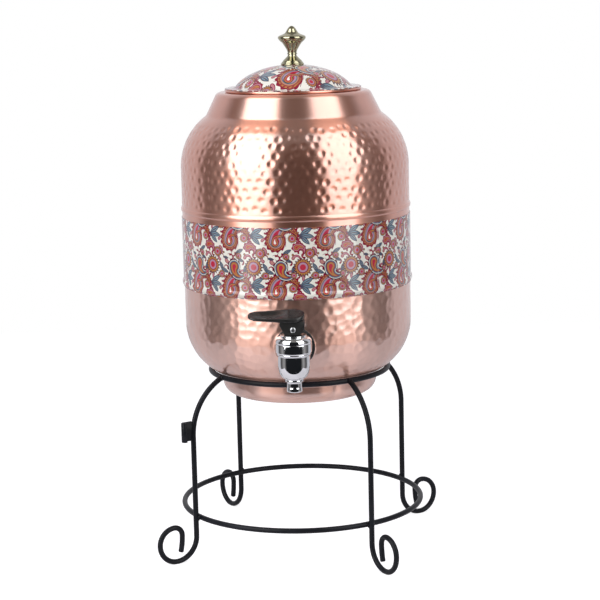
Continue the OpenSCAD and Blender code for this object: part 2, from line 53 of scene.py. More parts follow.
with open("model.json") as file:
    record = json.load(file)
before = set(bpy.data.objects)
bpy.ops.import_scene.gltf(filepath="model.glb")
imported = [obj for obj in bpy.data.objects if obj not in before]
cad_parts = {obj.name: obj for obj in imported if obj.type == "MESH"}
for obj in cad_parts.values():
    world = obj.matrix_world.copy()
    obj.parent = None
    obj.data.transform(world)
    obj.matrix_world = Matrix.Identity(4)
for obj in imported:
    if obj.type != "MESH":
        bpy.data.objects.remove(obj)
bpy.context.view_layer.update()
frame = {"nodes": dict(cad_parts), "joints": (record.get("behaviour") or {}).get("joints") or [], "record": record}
BODY_OF = {node: body for body, nodes in frame["record"]["behaviour"]["bodies"].items() for node in nodes}

MM = 0.001
TAU = 2 * math.pi
SEED = 7


def corners(node):
    """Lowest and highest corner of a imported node, in millimetres."""
    low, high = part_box(node)
    return np.array(low) / MM, np.array(high) / MM


def middle(node):
    """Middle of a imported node's box, in millimetres."""
    low, high = corners(node)
    return (low + high) / 2


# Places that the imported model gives, in millimetres
VESSEL_Z = corners("vessel_lower")[0][2]
LID_Z = corners("lid_dome")[0][2]
CROWN_Z = corners("lid_knob")[0][2]
TAP_Y = middle("tap_bonnet")[1]
SHANK_Z = middle("outer_washer")[2]
TAP_AT = np.array([0.0, TAP_Y, SHANK_Z])
PIN_AT = middle("lever_pin")
SPRING_LOW, SPRING_HIGH = (corner[2] for corner in corners("valve_spring"))
TOP_RING_Z = middle("stand_top_ring")[2]
LOWER_RING_Z = middle("stand_lower_ring")[2]
WIRE_R = (corners("stand_top_ring")[1][2] - corners("stand_top_ring")[0][2]) / 2
TOP_RING_R = corners("stand_top_ring")[1][0] - WIRE_R
LOWER_RING_R = corners("stand_lower_ring")[1][0] - WIRE_R

# The vessel's turned profile, in millimetres above its bottom
WALL_R = 98.0
SHEET = 1.0
FOOT_R = 67.0
FOOT_ROUND = 11.0
FILLET_AT, FILLET_R, FILLET_END = (72.0, 14.69), 5.0, 114.9
BOWL_AT, BOWL_R = (49.5, 63.233), 48.5
BEAD_IN, BEAD_R, BEAD_HALF = 95.375, 3.625, 43.6
BEAD_LOW_Z, BEAD_HIGH_Z, BEAD_W = 99.5, 162.5, 5.0
SEAM_Z, LAP_Z, LAP_R, LAP_GAP = 126.0, 118.0, 96.95, 0.05
SHOULDER_AT, SHOULDER_R, SHOULDER_END = (44.0, 197.233), 54.0, 54.97
NECK_AT, NECK_R, NECK_START = (62.0, 255.448), 5.5, 21.0
MOUTH_R = 53.5
PAD_R, PAD_Y, PAD_BLEND, PAD_PLAIN = 14.8, 97.5, 1.7, 4.0
SHANK_HOLE_R = 8.3
BAND_LOW, BAND_HIGH = 96.0, 155.5
FILM_GAP, FILM_T = 0.05, 0.6
BAND_SEAM_ANGLE = -45.0

# Zones that are hammered, as heights above the vessel's bottom, and the share of a step that dents stray
HAMMERED_LOW, DENT_STRAY = (27.0, 95.5), 0.42
HAMMERED_HIGH, DIMPLE_STRAY = (167.6, 237.0), 0.2


class VesselSettings(bpy.types.PropertyGroup):
    """Hammering and colour of the copper shells."""

    dimple_radius: FloatProperty(
        name="Dimple radius", description="Radius of a dimple above the band", default=3.0 * MM,
        min=0.0, unit="LENGTH", subtype="DISTANCE")
    dimple_depth: FloatProperty(
        name="Dimple depth", description="Depth of a dimple above the band", default=0.38 * MM,
        min=0.0, unit="LENGTH", subtype="DISTANCE")
    dimple_pitch: FloatProperty(
        name="Dimple pitch", description="Distance between rows of dimples above the band", default=7.5 * MM,
        min=0.001, unit="LENGTH", subtype="DISTANCE")
    dimples_round: IntProperty(
        name="Dimples round", description="Dimples in one row round the vessel", default=67, min=8)
    dent_radius: FloatProperty(
        name="Dent radius", description="Radius of a dent below the band", default=4.2 * MM,
        min=0.0, unit="LENGTH", subtype="DISTANCE")
    dent_depth: FloatProperty(
        name="Dent depth", description="Depth of a dent below the band", default=0.32 * MM,
        min=0.0, unit="LENGTH", subtype="DISTANCE")
    dent_pitch: FloatProperty(
        name="Dent pitch", description="Distance between rows of dents below the band", default=6.8 * MM,
        min=0.001, unit="LENGTH", subtype="DISTANCE")
    dents_round: IntProperty(
        name="Dents round", description="Dents in one row round the vessel", default=80, min=8)
    copper: FloatVectorProperty(
        name="Copper", description="Colour of the copper above the band", default=(0.880, 0.358, 0.234),
        min=0.0, max=1.0, subtype="COLOR")
    # The copper below the band is painted paler than the copper above: a lit copy of the same copper that paints
    # in the brighter light and floor reflection on the lower shell.
    lower_copper_painted_light: FloatVectorProperty(
        name="Lower copper painted paler", description="Colour of the copper below the band, painted paler for the light it catches",
        default=(0.870, 0.485, 0.380), min=0.0, max=1.0, subtype="COLOR")


class PrintSettings(bpy.types.PropertyGroup):
    """Repeat and inks of the paisley print."""

    repeat: FloatProperty(
        name="Repeat", description="Length after which the print repeats", default=41.2 * MM,
        min=0.005, unit="LENGTH", subtype="DISTANCE")
    cream: FloatVectorProperty(
        name="Ground", description="Colour of the ground", default=(0.880, 0.860, 0.790), subtype="COLOR")
    crimson: FloatVectorProperty(
        name="Crimson", description="Ink of the scalloped edges", default=(0.260, 0.008, 0.036),
        subtype="COLOR")
    red: FloatVectorProperty(
        name="Red", description="Ink of the bright cores", default=(0.520, 0.025, 0.060), subtype="COLOR")
    ochre: FloatVectorProperty(
        name="Ochre", description="Ink of the petals and borders", default=(0.490, 0.210, 0.062),
        subtype="COLOR")
    peach: FloatVectorProperty(
        name="Peach", description="Ink of the inner borders", default=(0.520, 0.250, 0.165), subtype="COLOR")
    slate: FloatVectorProperty(
        name="Slate", description="Ink of the leaves", default=(0.078, 0.155, 0.225), subtype="COLOR")
    sky: FloatVectorProperty(
        name="Sky", description="Ink of the leaves' middles", default=(0.205, 0.310, 0.380), subtype="COLOR")
    lilac: FloatVectorProperty(
        name="Lilac", description="Ink of the rings", default=(0.440, 0.280, 0.410), subtype="COLOR")
    pink: FloatVectorProperty(
        name="Pink", description="Ink of the tendrils", default=(0.540, 0.205, 0.275), subtype="COLOR")
    plum: FloatVectorProperty(
        name="Plum", description="Ink of the fine outlines", default=(0.070, 0.015, 0.040), subtype="COLOR")


class FittingSettings(bpy.types.PropertyGroup):
    """Colours of the knob, the tap and the stand."""

    brass: FloatVectorProperty(
        name="Brass", description="Colour of the knob", default=(0.520, 0.490, 0.330), subtype="COLOR")
    chrome: FloatVectorProperty(
        name="Chrome", description="Colour of the tap's plating", default=(0.840, 0.850, 0.870),
        subtype="COLOR")
    plastic: FloatVectorProperty(
        name="Lever", description="Colour of the lever's plastic", default=(0.016, 0.015, 0.015),
        subtype="COLOR")
    lacquer: FloatVectorProperty(
        name="Lacquer", description="Colour of the stand's lacquer", default=(0.007, 0.008, 0.011),
        subtype="COLOR")
    weld: FloatProperty(
        name="Weld", description="Half width of a weld on the stand", default=3.3 * MM,
        min=0.0, unit="LENGTH", subtype="DISTANCE")


class StageSettings(bpy.types.PropertyGroup):
    """Floor, lamps and camera of the stage."""

    floor: FloatVectorProperty(
        name="Floor", description="Colour of the floor", default=(0.620, 0.610, 0.660), subtype="COLOR")
    left_lamp: FloatProperty(
        name="Left lamp", description="Power of the lamp on the left", default=18.8, min=0.0, unit="POWER")
    right_lamp: FloatProperty(
        name="Right lamp", description="Power of the lamp on the right", default=12.2, min=0.0, unit="POWER")
    lens: FloatProperty(
        name="Lens", description="Focal length of the camera", default=111.76, min=10.0, unit="CAMERA")


def arc(centre, radius, start, end, count):
    """Points of a round arc about a centre, with its angles in degrees."""
    return oval(centre, radius, radius, start, end, count)


def oval(centre, wide, high, start, end, count):
    """Points of an oval arc about a centre, with its angles in degrees."""
    angle = np.radians(np.linspace(start, end, count + 1))
    return np.stack([centre[0] + wide * np.cos(angle), centre[1] + high * np.sin(angle)], -1)


def line(start, end, count=1):
    """Points along a straight line."""
    share = np.linspace(0.0, 1.0, count + 1)[:, None]
    return np.array(start, float) * (1 - share) + np.array(end, float) * share


def chain(*pieces):
    """Joins runs of points end to end, leaving out a point that repeats the one before it."""
    points = np.concatenate([np.atleast_2d(np.array(piece, float)) for piece in pieces])
    step = np.linalg.norm(np.diff(points, axis=0), axis=1)
    return points[np.concatenate([[True], step > 1e-4])]


def soften(points, radius, steps=3):
    """Rounds each inner corner of a run of points by a short curve."""
    most_of_side = 0.45
    points = np.array(points, float)
    share = np.linspace(0.0, 1.0, steps + 1)[:, None]
    rounded = [points[:1]]
    for before, corner, after in zip(points, points[1:], points[2:]):
        ends = []
        for other in (before, after):
            side = np.linalg.norm(other - corner)
            ends.append(corner + (other - corner) / side * min(radius, side * most_of_side))
        rounded.append(ends[0] * (1 - share) ** 2 + corner * 2 * share * (1 - share) + ends[1] * share ** 2)
    return chain(*rounded, points[-1:])


def smooth_step(low, high, value):
    """Rises smoothly from 0 at low to 1 at high."""
    share = np.clip((value - low) / (high - low), 0.0, 1.0)
    return share * share * (3 - 2 * share)


def turn(profile, turns):
    """Turns a profile of radius and height about the upright axis, as rows of points."""
    profile = np.array(profile, float)
    angle = np.arange(turns) * TAU / turns
    radius = profile[:, :1]
    height = np.broadcast_to(profile[:, 1:], (len(profile), turns))
    return np.stack([radius * np.cos(angle), radius * np.sin(angle), height], -1)


def lay_along_y(grid):
    """Lays a shape that stands on the upright axis along the Y axis, its top to the back."""
    return np.stack([grid[..., 0], grid[..., 2], -grid[..., 1]], -1)


def rod_along_y(radius, start, end, sides=64):
    """Rows of points of a straight rod along the Y axis."""
    return lay_along_y(turn(line((radius, start), (radius, end), 2), sides))


def tube(path, radius, sides):
    """Rows of points round a path, with rounded rims at its two ends."""
    rim = 0.25
    off_axis = (0.31, 0.87, 0.38)
    path = np.array(path, float)
    along = np.gradient(path, axis=0)
    along /= np.linalg.norm(along, axis=1)[:, None]
    path = np.concatenate([path[:1], path[:1] + along[:1] * radius * rim, path[1:-1],
                           path[-1:] - along[-1:] * radius * rim, path[-1:]])
    along = np.concatenate([along[:1], along, along[-1:]])
    radii = np.full(len(path), float(radius))
    radii[[0, -1]] *= 1 - rim
    across = np.cross(along[0], off_axis)
    angle = np.arange(sides) * TAU / sides
    rows = []
    for centre, direction, size in zip(path, along, radii):
        across = across - direction * np.dot(across, direction)
        across /= np.linalg.norm(across)
        other = np.cross(direction, across)
        rows.append(centre + size * (np.cos(angle)[:, None] * across + np.sin(angle)[:, None] * other))
    return np.array(rows)


# Angles in degrees above which an edge stays sharp: most pieces, the lever, and the knob and the clip
SHARP, LEVER_SHARP, FINE_SHARP = 35.0, 40.0, 50.0


class Shape:
    """Points and faces of one piece, gathered in millimetres before its mesh is made."""

    def __init__(self):
        self.points = []
        self.faces = []
        self.count = 0

    def add_points(self, points):
        first = self.count
        self.points.append(np.array(points, float).reshape(-1, 3))
        self.count += len(self.points[-1])
        return first

    def add_rows(self, grid, ring=False, start=None, end=None):
        """Adds rows of points that close round. A ring joins its last row to its first. Otherwise each end
        closes on a pole, which is the middle of its row where none is given."""
        rows, columns = grid.shape[:2]
        first = self.add_points(grid)
        here = np.arange(rows if ring else rows - 1)[:, None] * columns
        above = (here + columns) % (rows * columns)
        column = np.arange(columns)
        beside = (column + 1) % columns
        quads = np.stack([here + column, here + beside, above + beside, above + column], -1)
        self.faces += (quads.reshape(-1, 4) + first).tolist()
        if ring:
            return
        sides = list(zip(column.tolist(), beside.tolist()))
        for pole, row, order in ((start, 0, 1), (end, rows - 1, -1)):
            tip = self.add_points([grid[row].mean(0) if pole is None else pole])
            edge = first + row * columns
            self.faces += [[tip, edge + b, edge + a][::order] for a, b in sides]

    def make(self, name, finish, sharp=SHARP):
        """Makes the mesh and its object, with faces turned outward and smooth up to the sharp angle."""
        mesh = bpy.data.meshes.new(name)
        mesh.from_pydata((np.concatenate(self.points) * MM).tolist(), [], self.faces)
        piece = bpy.data.objects.new(name, mesh)
        bpy.context.scene.collection.objects.link(piece)
        mesh.materials.append(finish)
        tidy_mesh(mesh, sharp)
        return piece


def piece_of(name, finish, rows, sharp=SHARP, **ends):
    """Makes a piece of one set of rows of points."""
    shape = Shape()
    shape.add_rows(rows, **ends)
    return shape.make(name, finish, sharp)


def tidy_mesh(mesh, sharp):
    """Turns the faces of a mesh outward and shades it smooth up to an angle in degrees."""
    work = bmesh.new()
    work.from_mesh(mesh)
    bmesh.ops.recalc_face_normals(work, faces=work.faces)
    work.to_mesh(mesh)
    work.free()
    mesh.shade_smooth()
    mesh.set_sharp_from_angle(angle=math.radians(sharp))


def carve(piece, tool, operation, sharp=SHARP):
    """Joins a tool shape to a piece or cuts it away, and removes the tool."""
    change = piece.modifiers.new(operation, "BOOLEAN")
    change.operation = operation
    change.object = tool
    change.solver = "EXACT"
    change.material_mode = "TRANSFER"
    bpy.context.view_layer.update()
    shaped = piece.evaluated_get(bpy.context.evaluated_depsgraph_get())
    mesh = bpy.data.meshes.new_from_object(shaped)
    piece.modifiers.clear()
    piece.data = mesh
    bpy.data.objects.remove(tool)
    if not mesh.polygons:
        raise RuntimeError(f"{piece.name} was lost while it was carved")
    tidy_mesh(mesh, sharp)


def seat(piece, slot, *nodes):
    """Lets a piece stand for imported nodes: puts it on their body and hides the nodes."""
    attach(piece, BODY_OF[nodes[0]])
    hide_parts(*nodes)
    return piece


def dress(node, finish):
    """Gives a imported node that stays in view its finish."""
    piece = frame["nodes"][node]
    if not piece.material_slots:
        raise RuntimeError(f"{node} has no material slot to dress")
    for place in piece.material_slots:
        place.material = finish


# Sockets of the colour mix node by number, and the kinds of socket that a node group has
MIX_FACTOR, MIX_A, MIX_B, MIX_RESULT = 0, 6, 7, 2
NUMBER, COLOUR = "NodeSocketFloat", "NodeSocketColor"


def feed(tree, value, socket):
    """Links a wire or another socket to a socket, or sets it to a plain value."""
    if isinstance(value, Wire):
        value = value.socket
    if isinstance(value, bpy.types.NodeSocket):
        tree.links.new(value, socket)
    else:
        socket.default_value = value


class Wire:
    """A number that a shader node puts out, so that a pattern can be written as plain sums."""

    def __init__(self, tree, socket):
        self.tree = tree
        self.socket = socket

    def step(self, operation, *others):
        node = self.tree.nodes.new("ShaderNodeMath")
        node.operation = operation
        for socket, value in zip(node.inputs, (self, *others)):
            feed(self.tree, value, socket)
        return Wire(self.tree, node.outputs[0])

    def __add__(self, other):
        return self.step("ADD", other)

    def __sub__(self, other):
        return self.step("SUBTRACT", other)

    def __mul__(self, other):
        return self.step("MULTIPLY", other)

    def __truediv__(self, other):
        return self.step("DIVIDE", other)

    def root(self):
        return self.step("SQRT")

    def size(self):
        return self.step("ABSOLUTE")

    def cosine(self):
        return self.step("COSINE")

    def sine(self):
        return self.step("SINE")

    def over(self, limit):
        return self.step("GREATER_THAN", limit)

    def most(self, other):
        return self.step("MAXIMUM", other)

    def angle(self, beside):
        return self.step("ARCTAN2", beside)

    def wrap(self, low, high):
        return self.step("WRAP", high, low)


def radius_of(x, y):
    """Distance of a point from the middle of its motif."""
    return (x * x + y * y).root()


def new_group(name, inputs, outputs):
    """A node group with named sockets, and its nodes where values come in and go out."""
    group = bpy.data.node_groups.new(name, "ShaderNodeTree")
    for way, sockets in (("INPUT", inputs), ("OUTPUT", outputs)):
        for label, kind in sockets.items():
            group.interface.new_socket(label, in_out=way, socket_type=kind)
    return group, group.nodes.new("NodeGroupInput"), group.nodes.new("NodeGroupOutput")


def number_group(name, inputs, outputs, rule):
    """Node group that works out numbers from numbers by a rule written as plain sums."""
    group, entry, exit_node = new_group(name, dict.fromkeys(inputs, NUMBER), dict.fromkeys(outputs, NUMBER))
    results = rule(*(Wire(group, entry.outputs[label]) for label in inputs))
    for label, result in zip(outputs, results):
        feed(group, result, exit_node.inputs[label])
    return group


def use(tree, group, *values):
    """Places a number group in a node tree with values going in, and gives the wires that come out."""
    node = tree.nodes.new("ShaderNodeGroup")
    node.node_tree = group
    for socket, value in zip(node.inputs, values):
        feed(tree, value, socket)
    return [Wire(tree, socket) for socket in node.outputs]


def mixed(tree, share, first, second):
    """Mixes two colours by a share, and gives the mix's socket."""
    mix = tree.nodes.new("ShaderNodeMix")
    mix.data_type = "RGBA"
    for number, value in ((MIX_FACTOR, share), (MIX_A, first), (MIX_B, second)):
        feed(tree, value, mix.inputs[number])
    return mix.outputs[MIX_RESULT]


def ramp_of(tree, place, stops, interpolation="LINEAR"):
    """Colours along a row of stops by a place between 0 and 1, as the ramp's socket."""
    ramp = tree.nodes.new("ShaderNodeValToRGB")
    ramp.color_ramp.interpolation = interpolation
    elements = ramp.color_ramp.elements
    for number, (position, colour) in enumerate(stops):
        stop = elements[number] if number < 2 else elements.new(position)
        stop.position = position
        stop.color = colour
    feed(tree, place, ramp.inputs[0])
    return ramp.outputs["Color"]


def mask_between(tree, value, low, high):
    """A mask that rises smoothly from 0 where a value is low to 1 where it is high, as its socket."""
    mask = tree.nodes.new("ShaderNodeMapRange")
    mask.interpolation_type = "SMOOTHSTEP"
    for label, given in (("Value", value), ("From Min", low), ("From Max", high)):
        feed(tree, given, mask.inputs[label])
    return mask.outputs["Result"]


class Ink:
    """Lays flat inks over one another in a node tree."""

    def __init__(self, tree, colours, ground):
        self.tree = tree
        self.colours = colours
        self.colour = self.shade(ground)

    def shade(self, name):
        return (*getattr(self.colours, name), 1.0)

    def lay(self, depth, bands, gate=None):
        """Lays bands of ink where depth is above nought, each from its own depth inward."""
        inside = depth.over(0.0)
        if gate is not None:
            inside = inside * gate
        ink = self.shade(bands[0][1])
        if len(bands) > 1:
            span = bands[-1][0] * BANDS_SPARE
            stops = [(start / span, self.shade(name)) for start, name in bands]
            ink = ramp_of(self.tree, depth * (1 / span), stops, "CONSTANT")
        self.colour = mixed(self.tree, inside, self.colour, ink)


# The print's motifs: places in millimetres within one repeat, turns in degrees
TENDRILS = (
    ((34.6, 9.0), 100, 1, 1.7, 3.6, 290),
    ((8.6, 37.6), 150, -1, 1.7, 3.8, 285),
    ((27.4, 25.6), 20, -1, 1.5, 3.2, 285),
    ((2.2, 7.2), 250, 1, 1.4, 3.0, 280),
    ((26.6, 40.6), -20, 1, 1.4, 3.0, 280),
    ((20.6, 23.0), 70, 1, 1.3, 2.8, 285),
    ((35.0, 25.0), 215, -1, 1.3, 2.6, 285),
    ((1.2, 14.0), 330, 1, 1.3, 2.6, 280),
    ((1.6, 38.0), 60, 1, 1.4, 2.8, 285),
)
CURLS = (
    ((31.0, 3.6), 20, 1), ((3.6, 20.0), 130, -1), ((22.6, 27.4), 200, 1), ((30.2, 24.2), 80, -1),
    ((12.4, 1.2), 300, 1), ((40.4, 24.6), 160, -1), ((24.6, 35.0), 60, -1),
    ((17.6, 3.0), 200, 1), ((31.6, 13.4), 250, 1), ((10.0, 31.0), 20, -1), ((36.0, 41.0), 100, 1),
    ((5.4, 24.0), 300, 1),
)
LEAVES = (
    ((37.6, 21.4), -62, 5.8, 2.2), ((38.4, 17.6), -98, 5.8, 2.2), ((36.6, 14.2), -134, 5.4, 2.0),
    ((3.4, 32.6), 28, 4.6, 1.7), ((6.6, 29.2), 68, 4.6, 1.7), ((26.8, 31.8), -24, 4.0, 1.5),
    ((21.6, 4.6), 118, 4.2, 1.6), ((22.6, 38.6), 60, 3.4, 1.4), ((12.6, 26.6), 100, 3.0, 1.2),
    ((32.6, 17.4), 40, 3.0, 1.2), ((8.0, 40.0), 80, 3.0, 1.2),
)
# Each drop: place, turn, flip, radius, reach, sweep, scallops with their height and ink, its inks inward
DROPS = (
    ((12.4, 13.4), 12, 1, 8.4, 9.0, 208, (24, 0.6, "crimson"),
     ((0.0, "crimson"), (0.9, "ochre"), (1.9, "crimson"), (2.4, "peach"), (3.3, "slate"), (3.9, "lilac"),
      (5.2, "red"))),
    ((12.0, 12.0), 20, 1, 3.2, 4.2, 170, None,
     ((0.0, "plum"), (0.5, "ochre"), (1.2, "red"), (2.2, "cream"))),
    ((16.4, 33.0), 200, -1, 5.8, 6.2, 205, (18, 0.5, "plum"),
     ((0.0, "plum"), (0.5, "cream"), (1.0, "slate"), (2.0, "crimson"), (2.6, "ochre"), (4.0, "red"))),
    ((29.4, 8.2), -50, 1, 3.4, 4.0, 190, (12, 0.4, "crimson"),
     ((0.0, "crimson"), (0.6, "pink"), (1.3, "crimson"), (1.7, "ochre"), (2.5, "red"))),
)
# A line of short stitches along the border of the first drop: depth, half width, stitches in a turn
STITCHED, STITCH_AT, STITCH_HALF, STITCHES, STITCH_GAP = 0, 1.4, 0.34, 40.0, 0.1
ROSES = (
    ((34.4, 33.0), 7.4), ((26.2, 15.6), 3.6), ((40.4, 3.2), 4.2), ((3.4, 26.0), 3.2), ((20.8, 0.6), 2.8),
    ((27.0, 26.4), 2.6),
)
DOTS = (
    (8.4, 25.0), (30.4, 20.4), (24.8, 22.4), (0.6, 26.0), (14.0, 25.6), (20.4, 40.6), (26.4, 2.2),
    (6.0, 3.0),
)
TENDRIL_INKS = ((0.0, "crimson"), (0.55, "pink"), (1.1, "peach"))
LEAF_INKS = ((0.0, "plum"), (0.4, "slate"), (0.95, "sky"))
ROSE_INKS = ((0.0, "crimson"), (0.10, "lilac"), (0.26, "pink"), (0.32, "red"))
DOT_INKS = ((0.0, "plum"), (0.4, "ochre"))
# A row of bands ends this many times deeper than its last band starts
BANDS_SPARE = 1.25
CURL_R, CURL_REACH, CURL_SWEEP = 0.8, 1.9, 300
VEIN_REACH, VEIN_HALF = 0.8, 0.34
ROSE_POINTS, ROSE_WAVE, ROSE_PETAL, ROSE_PETAL_WAVE, ROSE_CORE = 18, 0.11, 0.84, 0.8, 0.64
DOT_R = 1.0
SCALLOPS_FROM = -1.3


def motif_place(across, up, at_across, at_up, turned, flip, half):
    """Place of a point as its motif sees it, with the print repeating after twice the half length."""
    x = (across - at_across).wrap(half * -1.0, half) * flip
    y = (up - at_up).wrap(half * -1.0, half)
    cosine, sine = turned.cosine(), turned.sine()
    return x * cosine + y * sine, y * cosine - x * sine


def curled_drop(x, y, radius, reach, sweep):
    """Depth inside a round drop whose tail curls round a point beside it, and the angle along the curl."""
    far_outside = 100.0
    beside = x - reach
    curl = y.angle(beside * -1.0).wrap(sweep - TAU, sweep)
    off_line = (radius_of(beside, y) - reach).size()
    tail = (curl / sweep * -1.0 + 1.0) * radius - off_line
    body = radius - radius_of(x, y)
    hidden = curl.over(0.0) * -far_outside + far_outside
    return body.most(tail - hidden), curl


def leaf(x, y, half_length, half_width):
    """Depth inside a pointed leaf."""
    share = y / half_length
    return ((share * share * -1.0 + 1.0) * half_width - x.size(),)


def rose(x, y, size):
    """Depths inside a rose's outline, its petals and its core."""
    inward = radius_of(x, y) * -1.0
    wave = (y.angle(x) * ROSE_POINTS).cosine() * size * ROSE_WAVE
    petals = inward + wave * ROSE_PETAL_WAVE + size * ROSE_PETAL
    return inward + wave + size, petals, inward + size * ROSE_CORE


def paisley_print(settings):
    """Node group that prints a traditional paisley repeat from two lengths in millimetres."""
    lengths = dict.fromkeys(("Across", "Up"), NUMBER)
    group, entry, exit_node = new_group("Paisley print", lengths, {"Color": COLOUR})
    across, up = (Wire(group, entry.outputs[label]) for label in lengths)
    ink = Ink(group, settings, "cream")
    half = settings.repeat / MM / 2
    place_group = number_group(
        "Motif place", ("Across", "Up", "At across", "At up", "Turn", "Flip", "Half repeat"), ("X", "Y"),
        motif_place)
    drop_group = number_group(
        "Curled drop", ("X", "Y", "Radius", "Reach", "Sweep"), ("Depth", "Curl"), curled_drop)
    leaf_group = number_group("Leaf", ("X", "Y", "Half length", "Half width"), ("Depth",), leaf)
    rose_group = number_group("Rose", ("X", "Y", "Size"), ("Outline", "Petals", "Core"), rose)

    def place(at, turned=0.0, flip=1.0):
        return use(group, place_group, across, up, *at, math.radians(turned), flip, half)

    def drop(at, turned, flip, radius, reach, sweep):
        return use(group, drop_group, *place(at, turned, flip), radius, reach, math.radians(sweep))

    for tendril in TENDRILS:
        ink.lay(drop(*tendril)[0], TENDRIL_INKS)
    for curl in CURLS:
        ink.lay(drop(*curl, CURL_R, CURL_REACH, CURL_SWEEP)[0], ((0.0, "crimson"),))
    for at, turned, half_length, half_width in LEAVES:
        spot = place(at, turned)
        ink.lay(*use(group, leaf_group, *spot, half_length, half_width), LEAF_INKS)
        ink.lay(*use(group, leaf_group, *spot, half_length * VEIN_REACH, VEIN_HALF), ((0.0, "plum"),))
    for number, (*form, scallops, inks) in enumerate(DROPS):
        depth, curl = drop(*form)
        if scallops:
            count, height, edge = scallops
            wave = (curl * count).cosine() * height + height
            ink.lay(depth + wave, ((0.0, edge),), curl.over(SCALLOPS_FROM))
        ink.lay(depth, inks)
        if number == STITCHED:
            border = (depth - STITCH_AT).size() * -1.0 + STITCH_HALF
            ink.lay(border, ((0.0, "crimson"),), (curl * STITCHES).cosine().over(STITCH_GAP))
    for at, size in ROSES:
        outline, petals, core = use(group, rose_group, *place(at), size)
        ink.lay(outline, ((0.0, "plum"),))
        ink.lay(petals, ((0.0, "ochre"),))
        ink.lay(core, tuple((start * size, name) for start, name in ROSE_INKS))
    for at in DOTS:
        ink.lay(radius_of(*place(at)) * -1.0 + DOT_R, DOT_INKS)
    feed(group, ink.colour, exit_node.inputs["Color"])
    return group


# Handling marks: the range of a smudge, the detail of each noise, and the scale that draws turned lines
SMUDGED = (0.45, 0.72)
SMUDGE_DETAIL, GRAIN_DETAIL, LINE_DETAIL = 5.0, 2.0, 1.0
LINE_SCALE = (9.0, 9.0, 1500.0)


def surface_marks():
    """Node group for a handled surface: a shaded colour, an uneven gloss and a fine height."""
    colours, numbers = ("Clean", "Handled"), ("Roughness", "Spread", "Smudges", "Grain", "Turned lines")
    group, entry, exit_node = new_group(
        "Surface marks", dict.fromkeys(colours, COLOUR) | dict.fromkeys(numbers, NUMBER),
        {"Color": COLOUR, "Roughness": NUMBER, "Height": NUMBER})
    clean, handled = (entry.outputs[label] for label in colours)
    roughness, spread, smudges, grain, turned = (Wire(group, entry.outputs[label]) for label in numbers)
    place = group.nodes.new("ShaderNodeTexCoord").outputs["Object"]
    squeeze = group.nodes.new("ShaderNodeMapping")
    squeeze.inputs["Scale"].default_value = LINE_SCALE
    feed(group, place, squeeze.inputs["Vector"])

    def noise(scale, detail, vector):
        node = group.nodes.new("ShaderNodeTexNoise")
        for label, value in (("Scale", scale), ("Detail", detail), ("Vector", vector)):
            feed(group, value, node.inputs[label])
        return Wire(group, node.outputs["Fac"])

    smudge = noise(smudges, SMUDGE_DETAIL, place)
    lines = noise(1.0, LINE_DETAIL, squeeze.outputs["Vector"])
    results = {
        "Color": mixed(group, mask_between(group, smudge, *SMUDGED), clean, handled),
        "Roughness": (smudge - 0.5) * spread + roughness,
        "Height": lines * turned + noise(grain, GRAIN_DETAIL, place),
    }
    for label, value in results.items():
        feed(group, value, exit_node.inputs[label])
    return group


def shared_group(name, build, *settings):
    """Finds a node group by name, or builds it once."""
    return bpy.data.node_groups.get(name) or build(*settings)


def finish_of(name, clean, handled, roughness, spread=0.1, smudges=30.0, grain=900.0, lines=0.0, bump=0.02,
              **sockets):
    """A material whose colour, gloss and fine relief come from the shared surface marks."""
    made = bpy.data.materials.get(name)
    if made:
        return made
    made = bpy.data.materials.new(name)
    made.use_nodes = True
    tree = made.node_tree
    shader = tree.nodes["Principled BSDF"]
    marks = tree.nodes.new("ShaderNodeGroup")
    marks.node_tree = shared_group("Surface marks", surface_marks)
    marks.name = "Surface marks"
    values = {"Clean": (*clean, 1.0), "Handled": (*handled, 1.0), "Roughness": roughness, "Spread": spread,
              "Smudges": smudges, "Grain": grain, "Turned lines": lines}
    for label, value in values.items():
        marks.inputs[label].default_value = value
    relief = tree.nodes.new("ShaderNodeBump")
    relief.inputs["Distance"].default_value = bump * MM
    tree.links.new(marks.outputs["Color"], shader.inputs["Base Color"])
    tree.links.new(marks.outputs["Roughness"], shader.inputs["Roughness"])
    tree.links.new(marks.outputs["Height"], relief.inputs["Height"])
    tree.links.new(relief.outputs["Normal"], shader.inputs["Normal"])
    for label, value in sockets.items():
        shader.inputs[label.replace("_", " ")].default_value = value
    return made


def copper_finish(name="Satin copper", colour="copper"):
    """Satin copper with fine turned lines and faint handling."""
    tone = Vector(getattr(bpy.context.scene.dispenser_vessel, colour))
    made = finish_of(name, tone, tone * 0.9, 0.33, spread=0.08, smudges=26.0, grain=700.0, lines=1.2,
                     bump=0.012, Metallic=0.9, Anisotropic=1.0, Anisotropic_Rotation=0.25, Coat_Weight=1.0,
                     Coat_IOR=2.6, Coat_Roughness=0.20)
    tree = made.node_tree
    if "Turning" not in tree.nodes:
        turning = tree.nodes.new("ShaderNodeTangent")
        turning.name = "Turning"
        turning.direction_type = "RADIAL"
        turning.axis = "Z"
        tree.links.new(turning.outputs["Tangent"], tree.nodes["Principled BSDF"].inputs["Tangent"])
    return made


def fitting(name):
    """Colour of a fitting in the settings."""
    return Vector(getattr(bpy.context.scene.dispenser_fittings, name))


def brass_finish():
    """Polished turned brass."""
    tone = fitting("brass")
    return finish_of("Polished brass", tone, tone * 0.72, 0.10, smudges=90.0, lines=1.5, bump=0.008,
                     Metallic=1.0)


def chrome_finish():
    """Bright chrome plate with a few water marks."""
    tone = fitting("chrome")
    return finish_of("Chrome plate", tone, tone * 0.9, 0.06, spread=0.08, smudges=120.0, bump=0.006,
                     Metallic=1.0)


def steel_finish():
    """Plain stainless steel."""
    return finish_of("Plain steel", (0.62, 0.63, 0.65), (0.50, 0.50, 0.52), 0.3, smudges=150.0, lines=1.0,
                     bump=0.01, Metallic=1.0)


